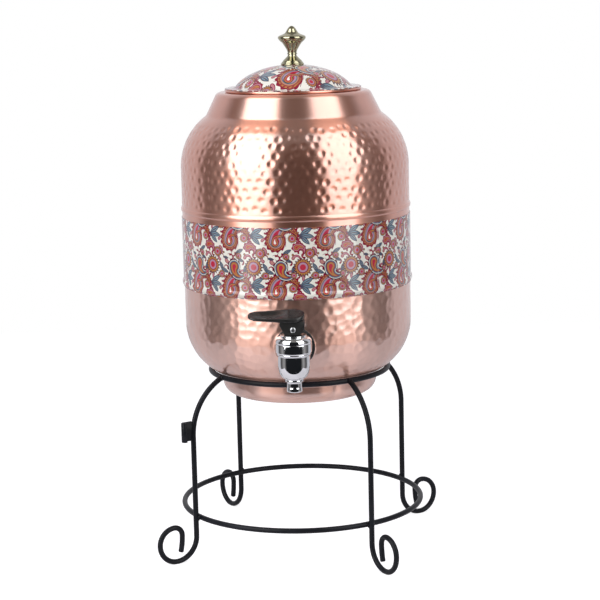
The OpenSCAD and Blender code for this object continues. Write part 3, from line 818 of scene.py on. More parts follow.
def gloss_plastic():
    """Glossy moulded plastic of the lever's blade."""
    tone = fitting("plastic")
    return finish_of("Gloss plastic", tone, tone * 2.2, 0.24, spread=0.2, smudges=110.0, bump=0.02)


def matt_plastic():
    """Matt moulded plastic of the lever's hub."""
    tone = fitting("plastic")
    return finish_of("Matt plastic", tone * 0.5, tone, 0.5, smudges=140.0, grain=2500.0, bump=0.03)


def wire_lacquer():
    """Black satin lacquer on the stand's wire."""
    tone = fitting("lacquer")
    return finish_of("Wire lacquer", tone, tone * 1.8, 0.36, spread=0.12, smudges=60.0, grain=260.0,
                     bump=0.03, IOR=1.28)


def black_rubber():
    """Black rubber of the washers and the stem's ring."""
    return finish_of("Black rubber", (0.012, 0.012, 0.012), (0.03, 0.03, 0.03), 0.55, smudges=180.0,
                     grain=2600.0, bump=0.04)


def pale_silicone():
    """Pale silicone of the valve's seat cup."""
    return finish_of("Pale silicone", (0.78, 0.76, 0.70), (0.70, 0.67, 0.60), 0.45, smudges=180.0, bump=0.02)


# The print: how far handling fades it and to what, its drop below the band's edge, and its lie on the lid
PRINT_FADE, FADED_PRINT = 0.10, (0.50, 0.44, 0.40, 1.0)
BAND_PRINT_DROP = 6.0
LID_PRINT_TURN, LID_PRINT_SCALE, LID_PRINT_SHIFT = 14.0, 1.3, (6.0, 2.0)


def print_finish(name, lengths):
    """Glossy printed film; lengths builds the two print lengths in the material's node tree."""
    film = finish_of(name, (0.8, 0.8, 0.8), (0.8, 0.8, 0.8), 0.13, spread=0.1, smudges=40.0, grain=500.0,
                     bump=0.008, Coat_Weight=0.5, Coat_Roughness=0.04)
    tree = film.node_tree
    sheet = tree.nodes.new("ShaderNodeGroup")
    sheet.node_tree = shared_group("Paisley print", paisley_print, bpy.context.scene.dispenser_print)
    sheet.name = "Paisley print"
    for socket, length in zip(("Across", "Up"), lengths(tree)):
        tree.links.new(length.socket, sheet.inputs[socket])
    faded = mixed(tree, PRINT_FADE, sheet.outputs["Color"], FADED_PRINT)
    marks = tree.nodes["Surface marks"]
    tree.links.new(sheet.outputs["Color"], marks.inputs["Clean"])
    tree.links.new(faded, marks.inputs["Handled"])
    return film


def place_in(tree, turned=0.0):
    """Lengths of a surface point in millimetres along the three axes, turned about the upright one."""
    place = tree.nodes.new("ShaderNodeTexCoord")
    spin = tree.nodes.new("ShaderNodeMapping")
    spin.inputs["Rotation"].default_value = (0.0, 0.0, math.radians(turned))
    spin.inputs["Scale"].default_value = (1 / MM, 1 / MM, 1 / MM)
    split = tree.nodes.new("ShaderNodeSeparateXYZ")
    tree.links.new(place.outputs["Object"], spin.inputs["Vector"])
    tree.links.new(spin.outputs["Vector"], split.inputs["Vector"])
    return [Wire(tree, socket) for socket in split.outputs]


def band_lengths(tree):
    """Print lengths round the band from its seam, and up from its lower edge."""
    x, y, z = place_in(tree, 180.0 - BAND_SEAM_ANGLE)
    return y.angle(x) * (WALL_R + FILM_T), z - (VESSEL_Z + BAND_LOW - BAND_PRINT_DROP)


def lid_lengths(tree):
    """Print lengths straight across the lid."""
    x, y, _ = place_in(tree, LID_PRINT_TURN)
    return [way * (1 / LID_PRINT_SCALE) + shift for way, shift in zip((x, y), LID_PRINT_SHIFT)]


class Hammering:
    """A lattice of dents on a turned wall, with each dent a little out of its place."""

    def __init__(self, draw, length, pitch, count, radius, depth, stray):
        first_at, last_at = radius * 0.6, length - radius * 0.4
        self.heights = np.arange(first_at, last_at, pitch)
        self.step = TAU / count
        self.count = count
        self.radius = radius
        self.depth = depth
        self.pitch = pitch
        size = (len(self.heights), count)
        spans = ((-stray, stray), (-stray, stray), (1 - stray, 1.0))
        self.sideways, self.upward, self.weight = (
            np.array([draw.uniform(*span) for _ in range(size[0] * count)]).reshape(size) for span in spans)

    def depth_at(self, along, radius, angle):
        """Depth of the dents at rows of a wall, given their length along it, their radius and the angles."""
        sunk = np.zeros((len(along), len(angle)))
        for row, height in enumerate(self.heights):
            near = np.abs(along - height) < self.radius + self.pitch
            shift = 0.5 * (row % 2)
            nearest = np.round(angle / self.step - shift).astype(int)
            for neighbour in (-1, 0, 1):
                number = nearest + neighbour
                place = number % self.count
                centre = (number + shift + self.sideways[row, place]) * self.step
                across = radius[near, None] * (angle - centre)
                upward = along[near, None] - height - self.upward[row, place] * self.pitch
                share = (across ** 2 + upward ** 2) / self.radius ** 2
                dent = self.depth * self.weight[row, place] * (1 - share)
                sunk[near] = np.maximum(sunk[near], dent)
        return sunk


def bead(height, depth, count):
    """Points of a rolled bead, at a depth inside its outer face."""
    return arc((BEAD_IN, height), BEAD_R - depth, -BEAD_HALF, BEAD_HALF, count)


def lower_outline(depth, fine):
    """The lower shell's profile from its middle up to the seam, at a depth inside its outer face."""
    bowl_start = FILLET_END - 180.0
    half_bead = BEAD_W / 2
    return chain(
        line((0.0, depth), (FOOT_R - FOOT_ROUND, depth), 3 * fine),
        arc((FOOT_R - FOOT_ROUND, FOOT_ROUND), FOOT_ROUND - depth, -90.0, 0.0, 4 * fine),
        arc(FILLET_AT, FILLET_R + depth, 180.0, FILLET_END, 3 * fine),
        arc(BOWL_AT, BOWL_R - depth, bowl_start, 0.0, 20 * fine),
        line((WALL_R - depth, BOWL_AT[1]), (WALL_R - depth, BEAD_LOW_Z - half_bead), 12 * fine),
        bead(BEAD_LOW_Z, depth, 3 * fine),
        line((WALL_R - depth, BEAD_LOW_Z + half_bead), (WALL_R - depth, SEAM_Z), fine),
    )


def upper_outline(depth, fine):
    """The upper shell's profile from its lap tongue up to the mouth, at a depth inside its outer face."""
    half_bead = BEAD_W / 2
    lap_step = SEAM_Z + LAP_GAP + depth
    wall_from, neck_ease = 146.0, 1.6
    shoulder = arc(SHOULDER_AT, SHOULDER_R - depth, 0.0, SHOULDER_END, 19 * fine)
    neck = arc(NECK_AT, NECK_R - depth, NECK_START, 90.0, 3 * fine)
    bend = [shoulder[-2 * fine], shoulder[-1], line(shoulder[-1], neck[0], 4)[1]]
    foot_of_neck = soften(bend, neck_ease, 4)
    return chain(
        [(LAP_R - depth, LAP_Z), (LAP_R - depth, lap_step), (WALL_R - depth, lap_step + depth)],
        line((WALL_R - depth, wall_from), (WALL_R - depth, BEAD_HIGH_Z - half_bead), fine),
        bead(BEAD_HIGH_Z, depth, 3 * fine),
        line((WALL_R - depth, BEAD_HIGH_Z + half_bead), (WALL_R - depth, SHOULDER_AT[1]), 11 * fine),
        shoulder[:-2 * fine], foot_of_neck, line(foot_of_neck[-1], neck[0], 2 * fine)[1:],
        neck, line(neck[-1], (MOUTH_R, neck[-1][1]), 2),
    )


SHELL_TURNS = 512
FINE_ROWS, PLAIN_ROWS = 3, 1


def outward(profile):
    """Outward direction of a profile at each of its points."""
    along = np.gradient(profile, axis=0)
    along /= np.linalg.norm(along, axis=1)[:, None]
    return np.stack([along[:, 1], -along[:, 0]], -1)


def press_pad(grid, face):
    """Presses the flat for the tap into rows of the wall, with its face at a distance from the axis."""
    x, y, z = grid[..., 0], grid[..., 1], grid[..., 2]
    away = np.hypot(x, z - (SHANK_Z - VESSEL_Z))
    flat = (1 - smooth_step(PAD_R, PAD_R + PAD_BLEND, away)) * (y < 0)
    grid[..., 1] = y * (1 - flat) - face * flat


def in_zone(profile, zone):
    """Which points of a profile lie on the wall between two heights."""
    return (profile[:, 1] > zone[0]) & (profile[:, 1] < zone[1]) & (profile[:, 0] > FOOT_R)


def hammer(grid, profile, zone, lattice, clear_of_tap):
    """Sinks the lattice's dents into the rows of a turned wall that lie in a zone."""
    along = np.concatenate([[0.0], np.cumsum(np.linalg.norm(np.diff(profile, axis=0), axis=1))])
    inside = in_zone(profile, zone)
    angle = np.arange(grid.shape[1]) * TAU / grid.shape[1]
    start = along[inside][0]
    sunk = lattice.depth_at(along[inside] - start, profile[inside, 0], angle)
    if clear_of_tap:
        wall = grid[inside]
        away = np.hypot(wall[..., 0], wall[..., 2] - (SHANK_Z - VESSEL_Z))
        sunk *= np.where(wall[..., 1] < 0, smooth_step(PAD_R, PAD_R + PAD_PLAIN, away), 1.0)
    facing = outward(profile)[inside]
    push = np.stack([facing[:, :1] * np.cos(angle), facing[:, :1] * np.sin(angle),
                     np.broadcast_to(facing[:, 1:], sunk.shape)], -1)
    grid[inside] -= push * sunk[..., None]


def zone_length(profile, zone):
    """Length along a profile of the part that lies in a zone."""
    return np.linalg.norm(np.diff(profile[in_zone(profile, zone)], axis=0), axis=1).sum()


class DISPENSER_OT_vessel(bpy.types.Operator):
    """Build the two hammered copper shells of the vessel"""

    bl_idname = "dispenser.vessel"
    bl_label = "Vessel shells"

    def execute(self, context):
        sizes = context.scene.dispenser_vessel
        draw = random.Random(SEED)
        # The lower shell gets the paler copper, painted paler to stand in for the light and floor reflection that
        # it catches.
        copper_painted_paler = copper_finish("Satin copper painted paler", "lower_copper_painted_light")
        lift = np.array([0.0, 0.0, VESSEL_Z])

        outer = lower_outline(0.0, FINE_ROWS)
        inner = lower_outline(SHEET, PLAIN_ROWS)[::-1]
        dents = Hammering(draw, zone_length(outer, HAMMERED_LOW), sizes.dent_pitch / MM, sizes.dents_round,
                          sizes.dent_radius / MM, sizes.dent_depth / MM, DENT_STRAY)
        face, back = turn(outer[1:], SHELL_TURNS), turn(inner[:-1], SHELL_TURNS)
        hammer(face, outer[1:], HAMMERED_LOW, dents, True)
        press_pad(face, PAD_Y)
        press_pad(back, PAD_Y - SHEET)
        lower = piece_of("Vessel_Lower", copper_painted_paler, np.concatenate([face, back]) + lift,
                         start=lift, end=lift + (0.0, 0.0, SHEET))
        rod = rod_along_y(SHANK_HOLE_R, -WALL_R - SHEET, -WALL_R / 2) + (0.0, 0.0, SHANK_Z)
        carve(lower, piece_of("Tap_Hole", copper_painted_paler, rod), "DIFFERENCE")
        seat(lower, "copper", "vessel_lower")

        outer = upper_outline(0.0, FINE_ROWS)
        inner = upper_outline(SHEET, PLAIN_ROWS)[::-1]
        dimples = Hammering(draw, zone_length(outer, HAMMERED_HIGH), sizes.dimple_pitch / MM,
                            sizes.dimples_round, sizes.dimple_radius / MM, sizes.dimple_depth / MM,
                            DIMPLE_STRAY)
        face, back = turn(outer, SHELL_TURNS), turn(inner, SHELL_TURNS)
        hammer(face, outer, HAMMERED_HIGH, dimples, False)
        upper = piece_of("Vessel_Upper", copper_finish(), np.concatenate([face, back]) + lift, ring=True)
        seat(upper, "copper", "vessel_upper")
        return {"FINISHED"}


class DISPENSER_OT_band(bpy.types.Operator):
    """Build the printed film that is wrapped round the vessel"""

    bl_idname = "dispenser.band"
    bl_label = "Printed band"

    def execute(self, context):
        edge, groove_half, groove_depth = 0.2, 0.5, FILM_T * 0.7

        def run(depth):
            return chain([(WALL_R - depth, BAND_LOW)], bead(BEAD_LOW_Z, depth, 12),
                         line((WALL_R - depth, BEAD_LOW_Z + BEAD_W / 2), (WALL_R - depth, BAND_HIGH), 12))

        face, back = run(-FILM_GAP - FILM_T), run(-FILM_GAP)
        face[0] += (0.0, edge)
        face[-1] -= (0.0, edge)
        rims = [(face[0, 0] - edge, BAND_LOW)], [(face[-1, 0] - edge, BAND_HIGH)]
        grid = turn(chain(rims[0], face, rims[1], back[::-1]), SHELL_TURNS)
        angle = np.degrees(np.arange(SHELL_TURNS) * TAU / SHELL_TURNS)
        from_seam = (angle - BAND_SEAM_ANGLE + 180.0) % 360.0 - 180.0
        groove = np.where(np.abs(from_seam) < groove_half, 1 - groove_depth / WALL_R, 1.0)
        rows = len(face) + 2
        grid[:rows, :, :2] *= groove[None, :, None]
        film = print_finish("Band print", band_lengths)
        band = piece_of("Printed_Band", film, grid + (0.0, 0.0, VESSEL_Z), ring=True)
        seat(band, "print", "printed_band")
        return {"FINISHED"}


# The lid's profile, in millimetres: radii, and heights above its lowest line; angles in degrees
LID_ROLL_R, LID_ROLL_AT, LID_ROLL_END = 1.5, 57.3, -199.0
LID_FLANGE = 3.0
DOME_WIDE, DOME_HIGH, DOME_START, DOME_END = 54.54, 30.484, 22.19, 78.9
CROWN_HOLE_R = 2.2
LID_FILM_T, LID_FILM_GAP, LID_FILM_HOLE_R, LID_FILM_END = 0.25, 0.05, 9.0, 40.0
LID_SHEET_T = 1.0
LID_TURNS = 256


def lid_outline(depth, hole, rim):
    """The lid's pressed profile from the hole in its crown out to its rim, at a depth below its top."""
    crown = CROWN_Z - LID_Z
    base = crown - DOME_HIGH * math.sin(math.radians(DOME_END))
    dome = oval((0.0, base), DOME_WIDE - depth, DOME_HIGH - depth, DOME_END, DOME_START, 36)
    corner = soften([dome[-6], dome[-1], (rim, LID_FLANGE - depth)], 4.0, 6)
    return chain([(hole, dome[0, 1])], dome[:-6], corner)


class DISPENSER_OT_lid(bpy.types.Operator):
    """Build the lid's copper sheet with its rolled edge, and the printed film over it"""

    bl_idname = "dispenser.lid"
    bl_label = "Lid"

    def execute(self, context):
        lift = (0.0, 0.0, LID_Z)

        def film_face(depth):
            wrap = arc((LID_ROLL_AT, LID_ROLL_R), LID_ROLL_R - depth, 90.0, LID_FILM_END, 6)
            return chain(lid_outline(depth, LID_FILM_HOLE_R, LID_ROLL_AT), wrap)

        rows = turn(chain(film_face(0.0), film_face(LID_FILM_T)[::-1]), LID_TURNS) + lift
        film = piece_of("Lid_Print", print_finish("Lid print", lid_lengths), rows, ring=True)
        seat(film, "print", "lid_dome")

        roll_r = LID_ROLL_R - LID_FILM_T - LID_FILM_GAP
        top = lid_outline(LID_FILM_T + LID_FILM_GAP, CROWN_HOLE_R, LID_ROLL_AT)[:-1]
        under = lid_outline(LID_SHEET_T, CROWN_HOLE_R, LID_ROLL_AT - LID_ROLL_R)
        roll = arc((LID_ROLL_AT, roll_r), roll_r, 90.0, LID_ROLL_END, 24)
        rows = turn(chain(top, roll, under[::-1]), LID_TURNS) + lift
        seat(piece_of("Lid_Sheet", copper_finish(), rows, ring=True), "copper", "lid_dome")
        dress("lid_skirt", copper_finish())
        return {"FINISHED"}


class DISPENSER_OT_knob(bpy.types.Operator):
    """Build the turned brass knob, and finish the screw and washer that hold it"""

    bl_idname = "dispenser.knob"
    bl_label = "Knob"

    def execute(self, context):
        base = [(2.0, 0.0), (9.4, 0.0), (10.0, 0.5), (10.0, 1.3), (9.2, 1.7), (9.2, 2.0), (8.9, 2.6),
                (8.2, 2.9), (8.3, 3.4)]
        waist = arc((7.6, 9.5), 4.0, 212.0, 186.0, 6)
        ring = [(4.2, 9.0), (4.35, 9.5), (4.2, 10.0), (3.75, 10.3)]
        bowl = [(4.4, 12.6), (6.6, 16.2), (8.6, 19.1), (9.3, 19.5), (10.8, 20.9), (11.7, 22.2), (12.0, 23.2),
                (11.6, 24.2), (10.6, 24.9)]
        cap = [(7.6, 26.0), (5.9, 26.9), (5.2, 27.6), (4.5, 28.8), (3.5, 30.5), (2.4, 31.9), (1.3, 32.7),
               (0.5, 32.97)]
        bore_r, bore_top, knob_top, turns = 2.0, 8.0, 33.0, 128
        outline = soften(chain(base, waist, ring, bowl, cap), 0.7, 4)
        lift = np.array([0.0, 0.0, CROWN_Z])
        rows = turn(chain([(bore_r, bore_top)], outline), turns) + lift
        knob = piece_of("Lid_Knob", brass_finish(), rows, FINE_SHARP,
                        start=lift + (0.0, 0.0, bore_top), end=lift + (0.0, 0.0, knob_top))
        seat(knob, "brass", "lid_knob")
        dress("knob_washer", steel_finish())
        dress("knob_screw", steel_finish())
        return {"FINISHED"}


# The tap, in millimetres from the crossing of its upright axis and its shank
CHAMBER_R, SEAT_DROP, BARREL_R, BARREL_H = 9.5, 13.6, 14.8, 9.2
SHANK_R, SHANK_BORE_R, SHANK_START, SHANK_END = 8.0, 4.0, 11.0, 46.0
THREAD_START, THREAD_PITCH, THREAD_DEPTH = 31.0, 1.5, 0.55
FLANGE_AT, FLANGE_T, FLANGE_R = 24.0, 3.0, 13.8
WASHER_R, WASHER_T = 16.7, 3.0
OUTLET_R = 4.2
TAP_TURNS, SHANK_TURNS = 128, 96


class DISPENSER_OT_tap(bpy.types.Operator):
    """Build the chrome tap body, its bonnet and the rubber washer outside, and finish the pieces inside"""

    bl_idname = "dispenser.tap"
    bl_label = "Tap"

    def execute(self, context):
        chrome = chrome_finish()
        nozzle = [(OUTLET_R, -31.0), (5.8, -31.0), (6.4, -30.4), (6.4, -27.6), (6.1, -27.2), (6.1, -23.4),
                  (6.6, -22.6), (7.5, -22.2), (7.6, -21.4), (7.3, -20.4)]
        cup = oval((7.6, -7.0), 5.6, 13.0, -80.0, 0.0, 18)
        ridge = [(13.2, -0.7), (13.9, -0.1), (14.25, 0.7), (13.95, 1.2), (14.7, 1.9), (14.8, 2.6)]
        shell = [(BARREL_R, BARREL_H - 0.2), (BARREL_R - 0.3, BARREL_H), (CHAMBER_R, BARREL_H)]
        chamber = [(CHAMBER_R, -SEAT_DROP), (OUTLET_R, -SEAT_DROP)]
        outline = chain(soften(chain(nozzle, cup, ridge, shell), 0.45), chamber)
        tap = piece_of("Tap_Body", chrome, turn(outline, TAP_TURNS) + TAP_AT, ring=True)

        flare = arc((SHANK_R + 4.0, 18.0), 4.0, 235.0, 180.0, 6)
        flange_end = FLANGE_AT + FLANGE_T
        flange = [(SHANK_R, FLANGE_AT - 1.0), (SHANK_R + 1.0, FLANGE_AT), (FLANGE_R - 0.6, FLANGE_AT),
                  (FLANGE_R, FLANGE_AT + 0.6), (FLANGE_R, flange_end), (SHANK_R, flange_end)]
        root_r = SHANK_R - THREAD_DEPTH
        thread = [point for at in np.arange(THREAD_START, SHANK_END - THREAD_PITCH, THREAD_PITCH)
                  for point in ((SHANK_R, at), (SHANK_R, at + 0.3), (root_r, at + 0.9))]
        start = [(SHANK_BORE_R, SHANK_START), (10.3, SHANK_START)]
        end = [(root_r, SHANK_END - 0.6), (SHANK_R - 1.0, SHANK_END), (SHANK_BORE_R, SHANK_END)]
        outline = chain(start, flare[flare[:, 1] > SHANK_START], flange, thread, end)
        shank = piece_of("Tap_Shank", chrome, lay_along_y(turn(outline, SHANK_TURNS)) + TAP_AT, ring=True)
        carve(tap, shank, "UNION")
        rod = rod_along_y(SHANK_BORE_R - 0.02, 2.0, SHANK_END + 2.0) + TAP_AT
        carve(tap, piece_of("Tap_Bore", chrome, rod), "DIFFERENCE")
        seat(tap, "chrome", "tap_body")

        shoulder = arc((BARREL_R - 4.2, 10.2), 4.2, 0.0, 78.0, 14)
        collar = soften([shoulder[-1], (10.6, 14.5), (10.6, 15.9), (10.2, 16.0)], 0.3, 3)
        dome = chain(shoulder[:-1], collar)
        neck = [(6.6, 16.0), (2.45, 16.0), (2.45, 14.6), (4.1, 14.6), (4.1, 13.0), (2.45, 13.0), (2.45, 11.6),
                (7.0, 11.6), (7.0, 4.6)]
        plug = [(9.45, 4.6), (9.45, 9.3), (BARREL_R - 0.3, 9.3)]
        rows = turn(chain(plug, dome, neck), TAP_TURNS) + TAP_AT
        seat(piece_of("Tap_Bonnet", chrome, rows, ring=True), "chrome", "tap_bonnet")

        washer_end = flange_end + WASHER_T
        rim = soften([(SHANK_HOLE_R, flange_end), (WASHER_R, flange_end), (WASHER_R, washer_end),
                      (SHANK_HOLE_R, washer_end)], 0.8, 4)
        rows = lay_along_y(turn(rim, TAP_TURNS)) + TAP_AT
        seat(piece_of("Outer_Washer", black_rubber(), rows, ring=True), "rubber", "outer_washer")
        dress("inner_washer", black_rubber())
        dress("shank_nut", steel_finish())
        return {"FINISHED"}


class DISPENSER_OT_valve(bpy.types.Operator):
    """Wind the valve's spring, and finish the stem, its ring and the seat cup"""

    bl_idname = "dispenser.valve"
    bl_label = "Valve"

    def execute(self, context):
        coil_r, wire_r, coils, rings_per_coil = 5.7, 0.5, 7, 40
        dead_coil, dead_rise = 0.85, 0.055
        share = np.linspace(0.0, 1.0, coils * rings_per_coil + 1)
        closed = dead_coil / coils
        rise = np.interp(share, (0.0, closed, 1 - closed, 1.0), (0.0, dead_rise, 1 - dead_rise, 1.0))
        low, high = SPRING_LOW + wire_r, SPRING_HIGH - wire_r
        angle = share * coils * TAU
        path = np.stack([coil_r * np.cos(angle), TAP_Y + coil_r * np.sin(angle),
                         low + (high - low) * rise], -1)
        rows = tube(path, wire_r, 12)
        spring = piece_of("Valve_Spring", steel_finish(), rows, start=path[0], end=path[-1])
        piece = seat(spring, "steel", "valve_spring")
        lift = next(joint for joint in frame["joints"] if joint["name"] == "stem_lift")["range_m"][1] / MM
        height = SPRING_HIGH - SPRING_LOW
        (height - lift) / height
        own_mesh(piece)
        dress("valve_stem", steel_finish())
        dress("stem_seal", black_rubber())
        dress("seat_cup", pale_silicone())
        return {"FINISHED"}


# The lever, in millimetres from its pin
BLADE_END, BLADE_TIP, BLADE_END_R, BLADE_TIP_R = 9.3, -36.3, 9.3, 6.8
BLADE_LOW, BLADE_T, BLADE_SLANT = 6.4, 6.3, 20.0
CAM_H, CAM_LIFT = 4.7, 4.8
HUB_HALF, HUB_FOOT, HUB_TOP = 7.0, -6.8, -10.9
STEM_R, SLOT_GAP, PIN_R = 2.4, 0.3, 1.2


def blade_width(x):
    """Half width of the blade seen from above: two round ends joined by straight sides."""
    tip_at = BLADE_TIP + BLADE_TIP_R
    lean = math.asin((BLADE_END_R - BLADE_TIP_R) / -tip_at)
    straight = BLADE_END_R / math.cos(lean) + math.tan(lean) * x
    end = np.sqrt(np.clip(BLADE_END_R ** 2 - x ** 2, 0.0, None))
    tip = np.sqrt(np.clip(BLADE_TIP_R ** 2 - (x - tip_at) ** 2, 0.0, None))
    from_end, to_tip = BLADE_END_R * math.sin(lean), tip_at + BLADE_TIP_R * math.sin(lean)
    return np.where(x > from_end, end, np.where(x < to_tip, tip, straight))


def blade_rows():
    """Rows of points along the blade: a dished spoon that ends in a rounded block over the hub."""
    stations, half_count, end_angle = 64, 20, 0.04
    top_fall, under_rise, rim = 0.9, 2.9, 0.56
    dish_from, dish_length, dish_depth, dish_power = -4.5, 30.0, 2.3, 0.8
    share = 0.5 - 0.5 * np.cos(np.linspace(end_angle, math.pi - end_angle, stations))
    x = BLADE_END + (BLADE_TIP - BLADE_END) * share
    top = BLADE_LOW + BLADE_T - top_fall * share ** 2
    under = BLADE_LOW + under_rise * share ** 2
    spoon = np.clip((dish_from - x) / dish_length, 0.0, 1.0)
    dish = dish_depth * np.sin(math.pi * spoon ** dish_power) ** dish_power
    across = np.cos(np.linspace(0.0, math.pi, half_count + 1))
    edge = np.abs(across)
    middle_line = top * rim + under * (1 - rim)
    rise = (1 - edge ** 9.0) ** 0.5
    sink = (1 - edge ** 2.6) ** 0.6
    over = middle_line[:, None] + (top - middle_line)[:, None] * rise - dish[:, None] * (1 - edge ** 1.25)
    below = middle_line[:, None] - (middle_line - under)[:, None] * sink
    side = blade_width(x)[:, None] * across
    along = np.broadcast_to(x[:, None], side.shape)
    face = np.stack([along, side, over], -1)
    back = np.stack([along, side, below], -1)[:, -2:0:-1]
    return slant(np.concatenate([face, back], 1))


def slant(points):
    """Slants points of the blade about its length, with the side away from the vessel lower."""
    cosine, sine = math.cos(math.radians(BLADE_SLANT)), math.sin(math.radians(BLADE_SLANT))
    level = BLADE_LOW + BLADE_T / 2
    across, height = points[..., 1], points[..., 2] - level
    return np.stack([points[..., 0], across * cosine - height * sine,
                     across * sine + height * cosine + level], -1)


def hub_outline():
    """Side view of the hub: a slanted back, a cam whose reach grows with the tilt, and a flat front."""
    rate = CAM_LIFT / (math.pi / 2)
    angle = np.radians(np.arange(0.0, 91.0, 6.0))
    reach = CAM_H + CAM_LIFT * angle / (math.pi / 2)
    cam = np.stack([reach * np.sin(angle) + rate * np.cos(angle),
                    -reach * np.cos(angle) + rate * np.sin(angle)], -1)
    front = CAM_H + CAM_LIFT - 0.25
    top = BLADE_LOW + BLADE_T * 0.4
    return chain([(HUB_FOOT, -CAM_H)], cam, [(front, BLADE_LOW), (front - 0.9, top), (HUB_TOP + 0.6, top)],
                 [(HUB_TOP, BLADE_LOW)])


def slab(outline, low, high, edge):
    """Rows of points of a flat outline given a thickness along Y, with its rims eased by an edge."""
    outline = np.array(outline)
    heart = outline.mean(0)
    eased = outline + (heart - outline) / np.linalg.norm(heart - outline, axis=1)[:, None] * edge
    rows = [(eased, low), (outline, low + edge), (outline, high - edge), (eased, high)]
    return np.array([np.stack([run[:, 0], np.full(len(run), at), run[:, 1]], -1) for run, at in rows])


class DISPENSER_OT_lever(bpy.types.Operator):
    """Build the lever with its spoon blade and cam hub, and the pin it turns on"""

    bl_idname = "dispenser.lever"
    bl_label = "Lever"

    def execute(self, context):
        gloss, matt = gloss_plastic(), matt_plastic()
        lever = piece_of("Tap_Lever", gloss, blade_rows() + PIN_AT, LEVER_SHARP)
        rows = slab(hub_outline(), -HUB_HALF, HUB_HALF, 0.7)
        slope = math.tan(math.radians(BLADE_SLANT))
        rows[..., 2] += (rows[..., 2] > BLADE_LOW - 1.0) * rows[..., 1] * slope
        carve(lever, piece_of("Lever_Hub", matt, rows + PIN_AT, LEVER_SHARP), "UNION", LEVER_SHARP)
        slot_half = STEM_R + SLOT_GAP
        slot_r = math.hypot(STEM_R, STEM_R + 0.8) + SLOT_GAP
        slot_low, slot_front = -14.0, 16.0
        meets = math.degrees(math.asin(slot_half / slot_r))
        slot = chain(arc((0.0, 0.0), slot_r, meets, 270.0 - meets, 24),
                     [(-slot_half, slot_low), (slot_front, slot_low), (slot_front, slot_half)])
        rows = slab(slot, -slot_half, slot_half, 0.01) + PIN_AT
        carve(lever, piece_of("Lever_Slot", matt, rows), "DIFFERENCE", LEVER_SHARP)
        rod = rod_along_y(PIN_R + 0.05, -10.0, 10.0, 48) + PIN_AT
        carve(lever, piece_of("Pin_Hole", matt, rod), "DIFFERENCE", LEVER_SHARP)
        seat(lever, "black_plastic", "tap_lever")

        head, inner, outer = 2.3, HUB_HALF + 0.25, HUB_HALF + 1.15
        dome = [(head, inner), (head, inner + 0.35), (1.5, outer - 0.08), (0.6, outer - 0.02)]
        half = chain([(PIN_R, inner)], soften(dome, 0.35, 4))
        rows = lay_along_y(turn(chain(half[::-1] * (1.0, -1.0), half), 64)) + PIN_AT
        reach = np.array([0.0, outer, 0.0])
        pin = piece_of("Lever_Pin", steel_finish(), rows, start=PIN_AT - reach, end=PIN_AT + reach)
        seat(pin, "steel", "lever_pin")
        return {"FINISHED"}


# The stand's legs, in millimetres in the upright plane of a leg
LEG_R = 108.3
BOW_R, BOW_TURN = 52.0, 64.24
BOW_Z = TOP_RING_Z - BOW_R * math.sin(math.radians(BOW_TURN))
LEG_BASE = 1.9
SCROLL_IN_R, SCROLL_OUT_R, SCROLL_TOP_R, SCROLL_CURL_R = 19.5, 16.0, 14.0, 7.5
TAIL_R, TAIL_TURN = 60.0, 14.3
LEG_ANGLES = {
    "leg_front_left": -146.0,
    "leg_front_right": -56.0,
    "leg_rear_left": 124.0,
    "leg_rear_right": 34.0,
}
WIRE_SIDES, RING_TURNS = 24, 224


def leg_path():
    """Middle line of a leg from its weld on the top ring down to the tail of its scroll."""
    floor_x = LEG_R + SCROLL_IN_R
    top_x = floor_x + SCROLL_OUT_R - SCROLL_TOP_R
    out_z = LEG_BASE + SCROLL_OUT_R
    curl_z = out_z + SCROLL_TOP_R - SCROLL_CURL_R
    return chain(
        arc((LEG_R - BOW_R, BOW_Z), BOW_R, BOW_TURN, 0.0, 26),
        line((LEG_R, BOW_Z), (LEG_R, LEG_BASE + SCROLL_IN_R), 16),
        arc((floor_x, LEG_BASE + SCROLL_IN_R), SCROLL_IN_R, 180.0, 270.0, 22),
        arc((floor_x, out_z), SCROLL_OUT_R, 270.0, 360.0, 22),
        arc((top_x, out_z), SCROLL_TOP_R, 0.0, 90.0, 20),
        arc((top_x, curl_z), SCROLL_CURL_R, 90.0, 180.0, 16),
        arc((top_x - SCROLL_CURL_R + TAIL_R, curl_z), TAIL_R, 180.0, 180.0 + TAIL_TURN, 8),
    )


def stand_up(points, angle):
    """Turns points of radius, side and height to a leg's angle round the stand."""
    cosine, sine = math.cos(math.radians(angle)), math.sin(math.radians(angle))
    return np.stack([points[..., 0] * cosine - points[..., 1] * sine,
                     points[..., 0] * sine + points[..., 1] * cosine, points[..., 2]], -1)


def weld_rows(at, half, draw):
    """Rows of points of a weld: a small lumpy bead about a place, given its half sizes."""
    rows = turn(arc((0.0, 0.0), 1.0, -78.0, 78.0, 8), 16)
    lumps = np.array([draw.uniform(0.88, 1.08) for _ in range(rows.shape[0] * rows.shape[1])])
    return rows * lumps.reshape(rows.shape[:2])[..., None] * half + at


def strip_rows(path, thick, low, high, edge):
    """Rows of points of an upright strip along a path seen from above, with eased edges."""
    path = np.array(path)
    along = np.gradient(path, axis=0)
    along /= np.linalg.norm(along, axis=1)[:, None]
    normal = np.stack([-along[:, 1], along[:, 0]], -1)
    half = thick / 2
    section = [(-half, low + edge), (-half, high - edge), (edge - half, high), (half - edge, high),
               (half, high - edge), (half, low + edge), (half - edge, low), (edge - half, low)]
    return np.array([[(*(point + side * across), height) for across, height in section]
                     for point, side in zip(path, normal)])


def title(node):
    """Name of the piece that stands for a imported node."""
    return "_".join(word.capitalize() for word in node.split("_"))


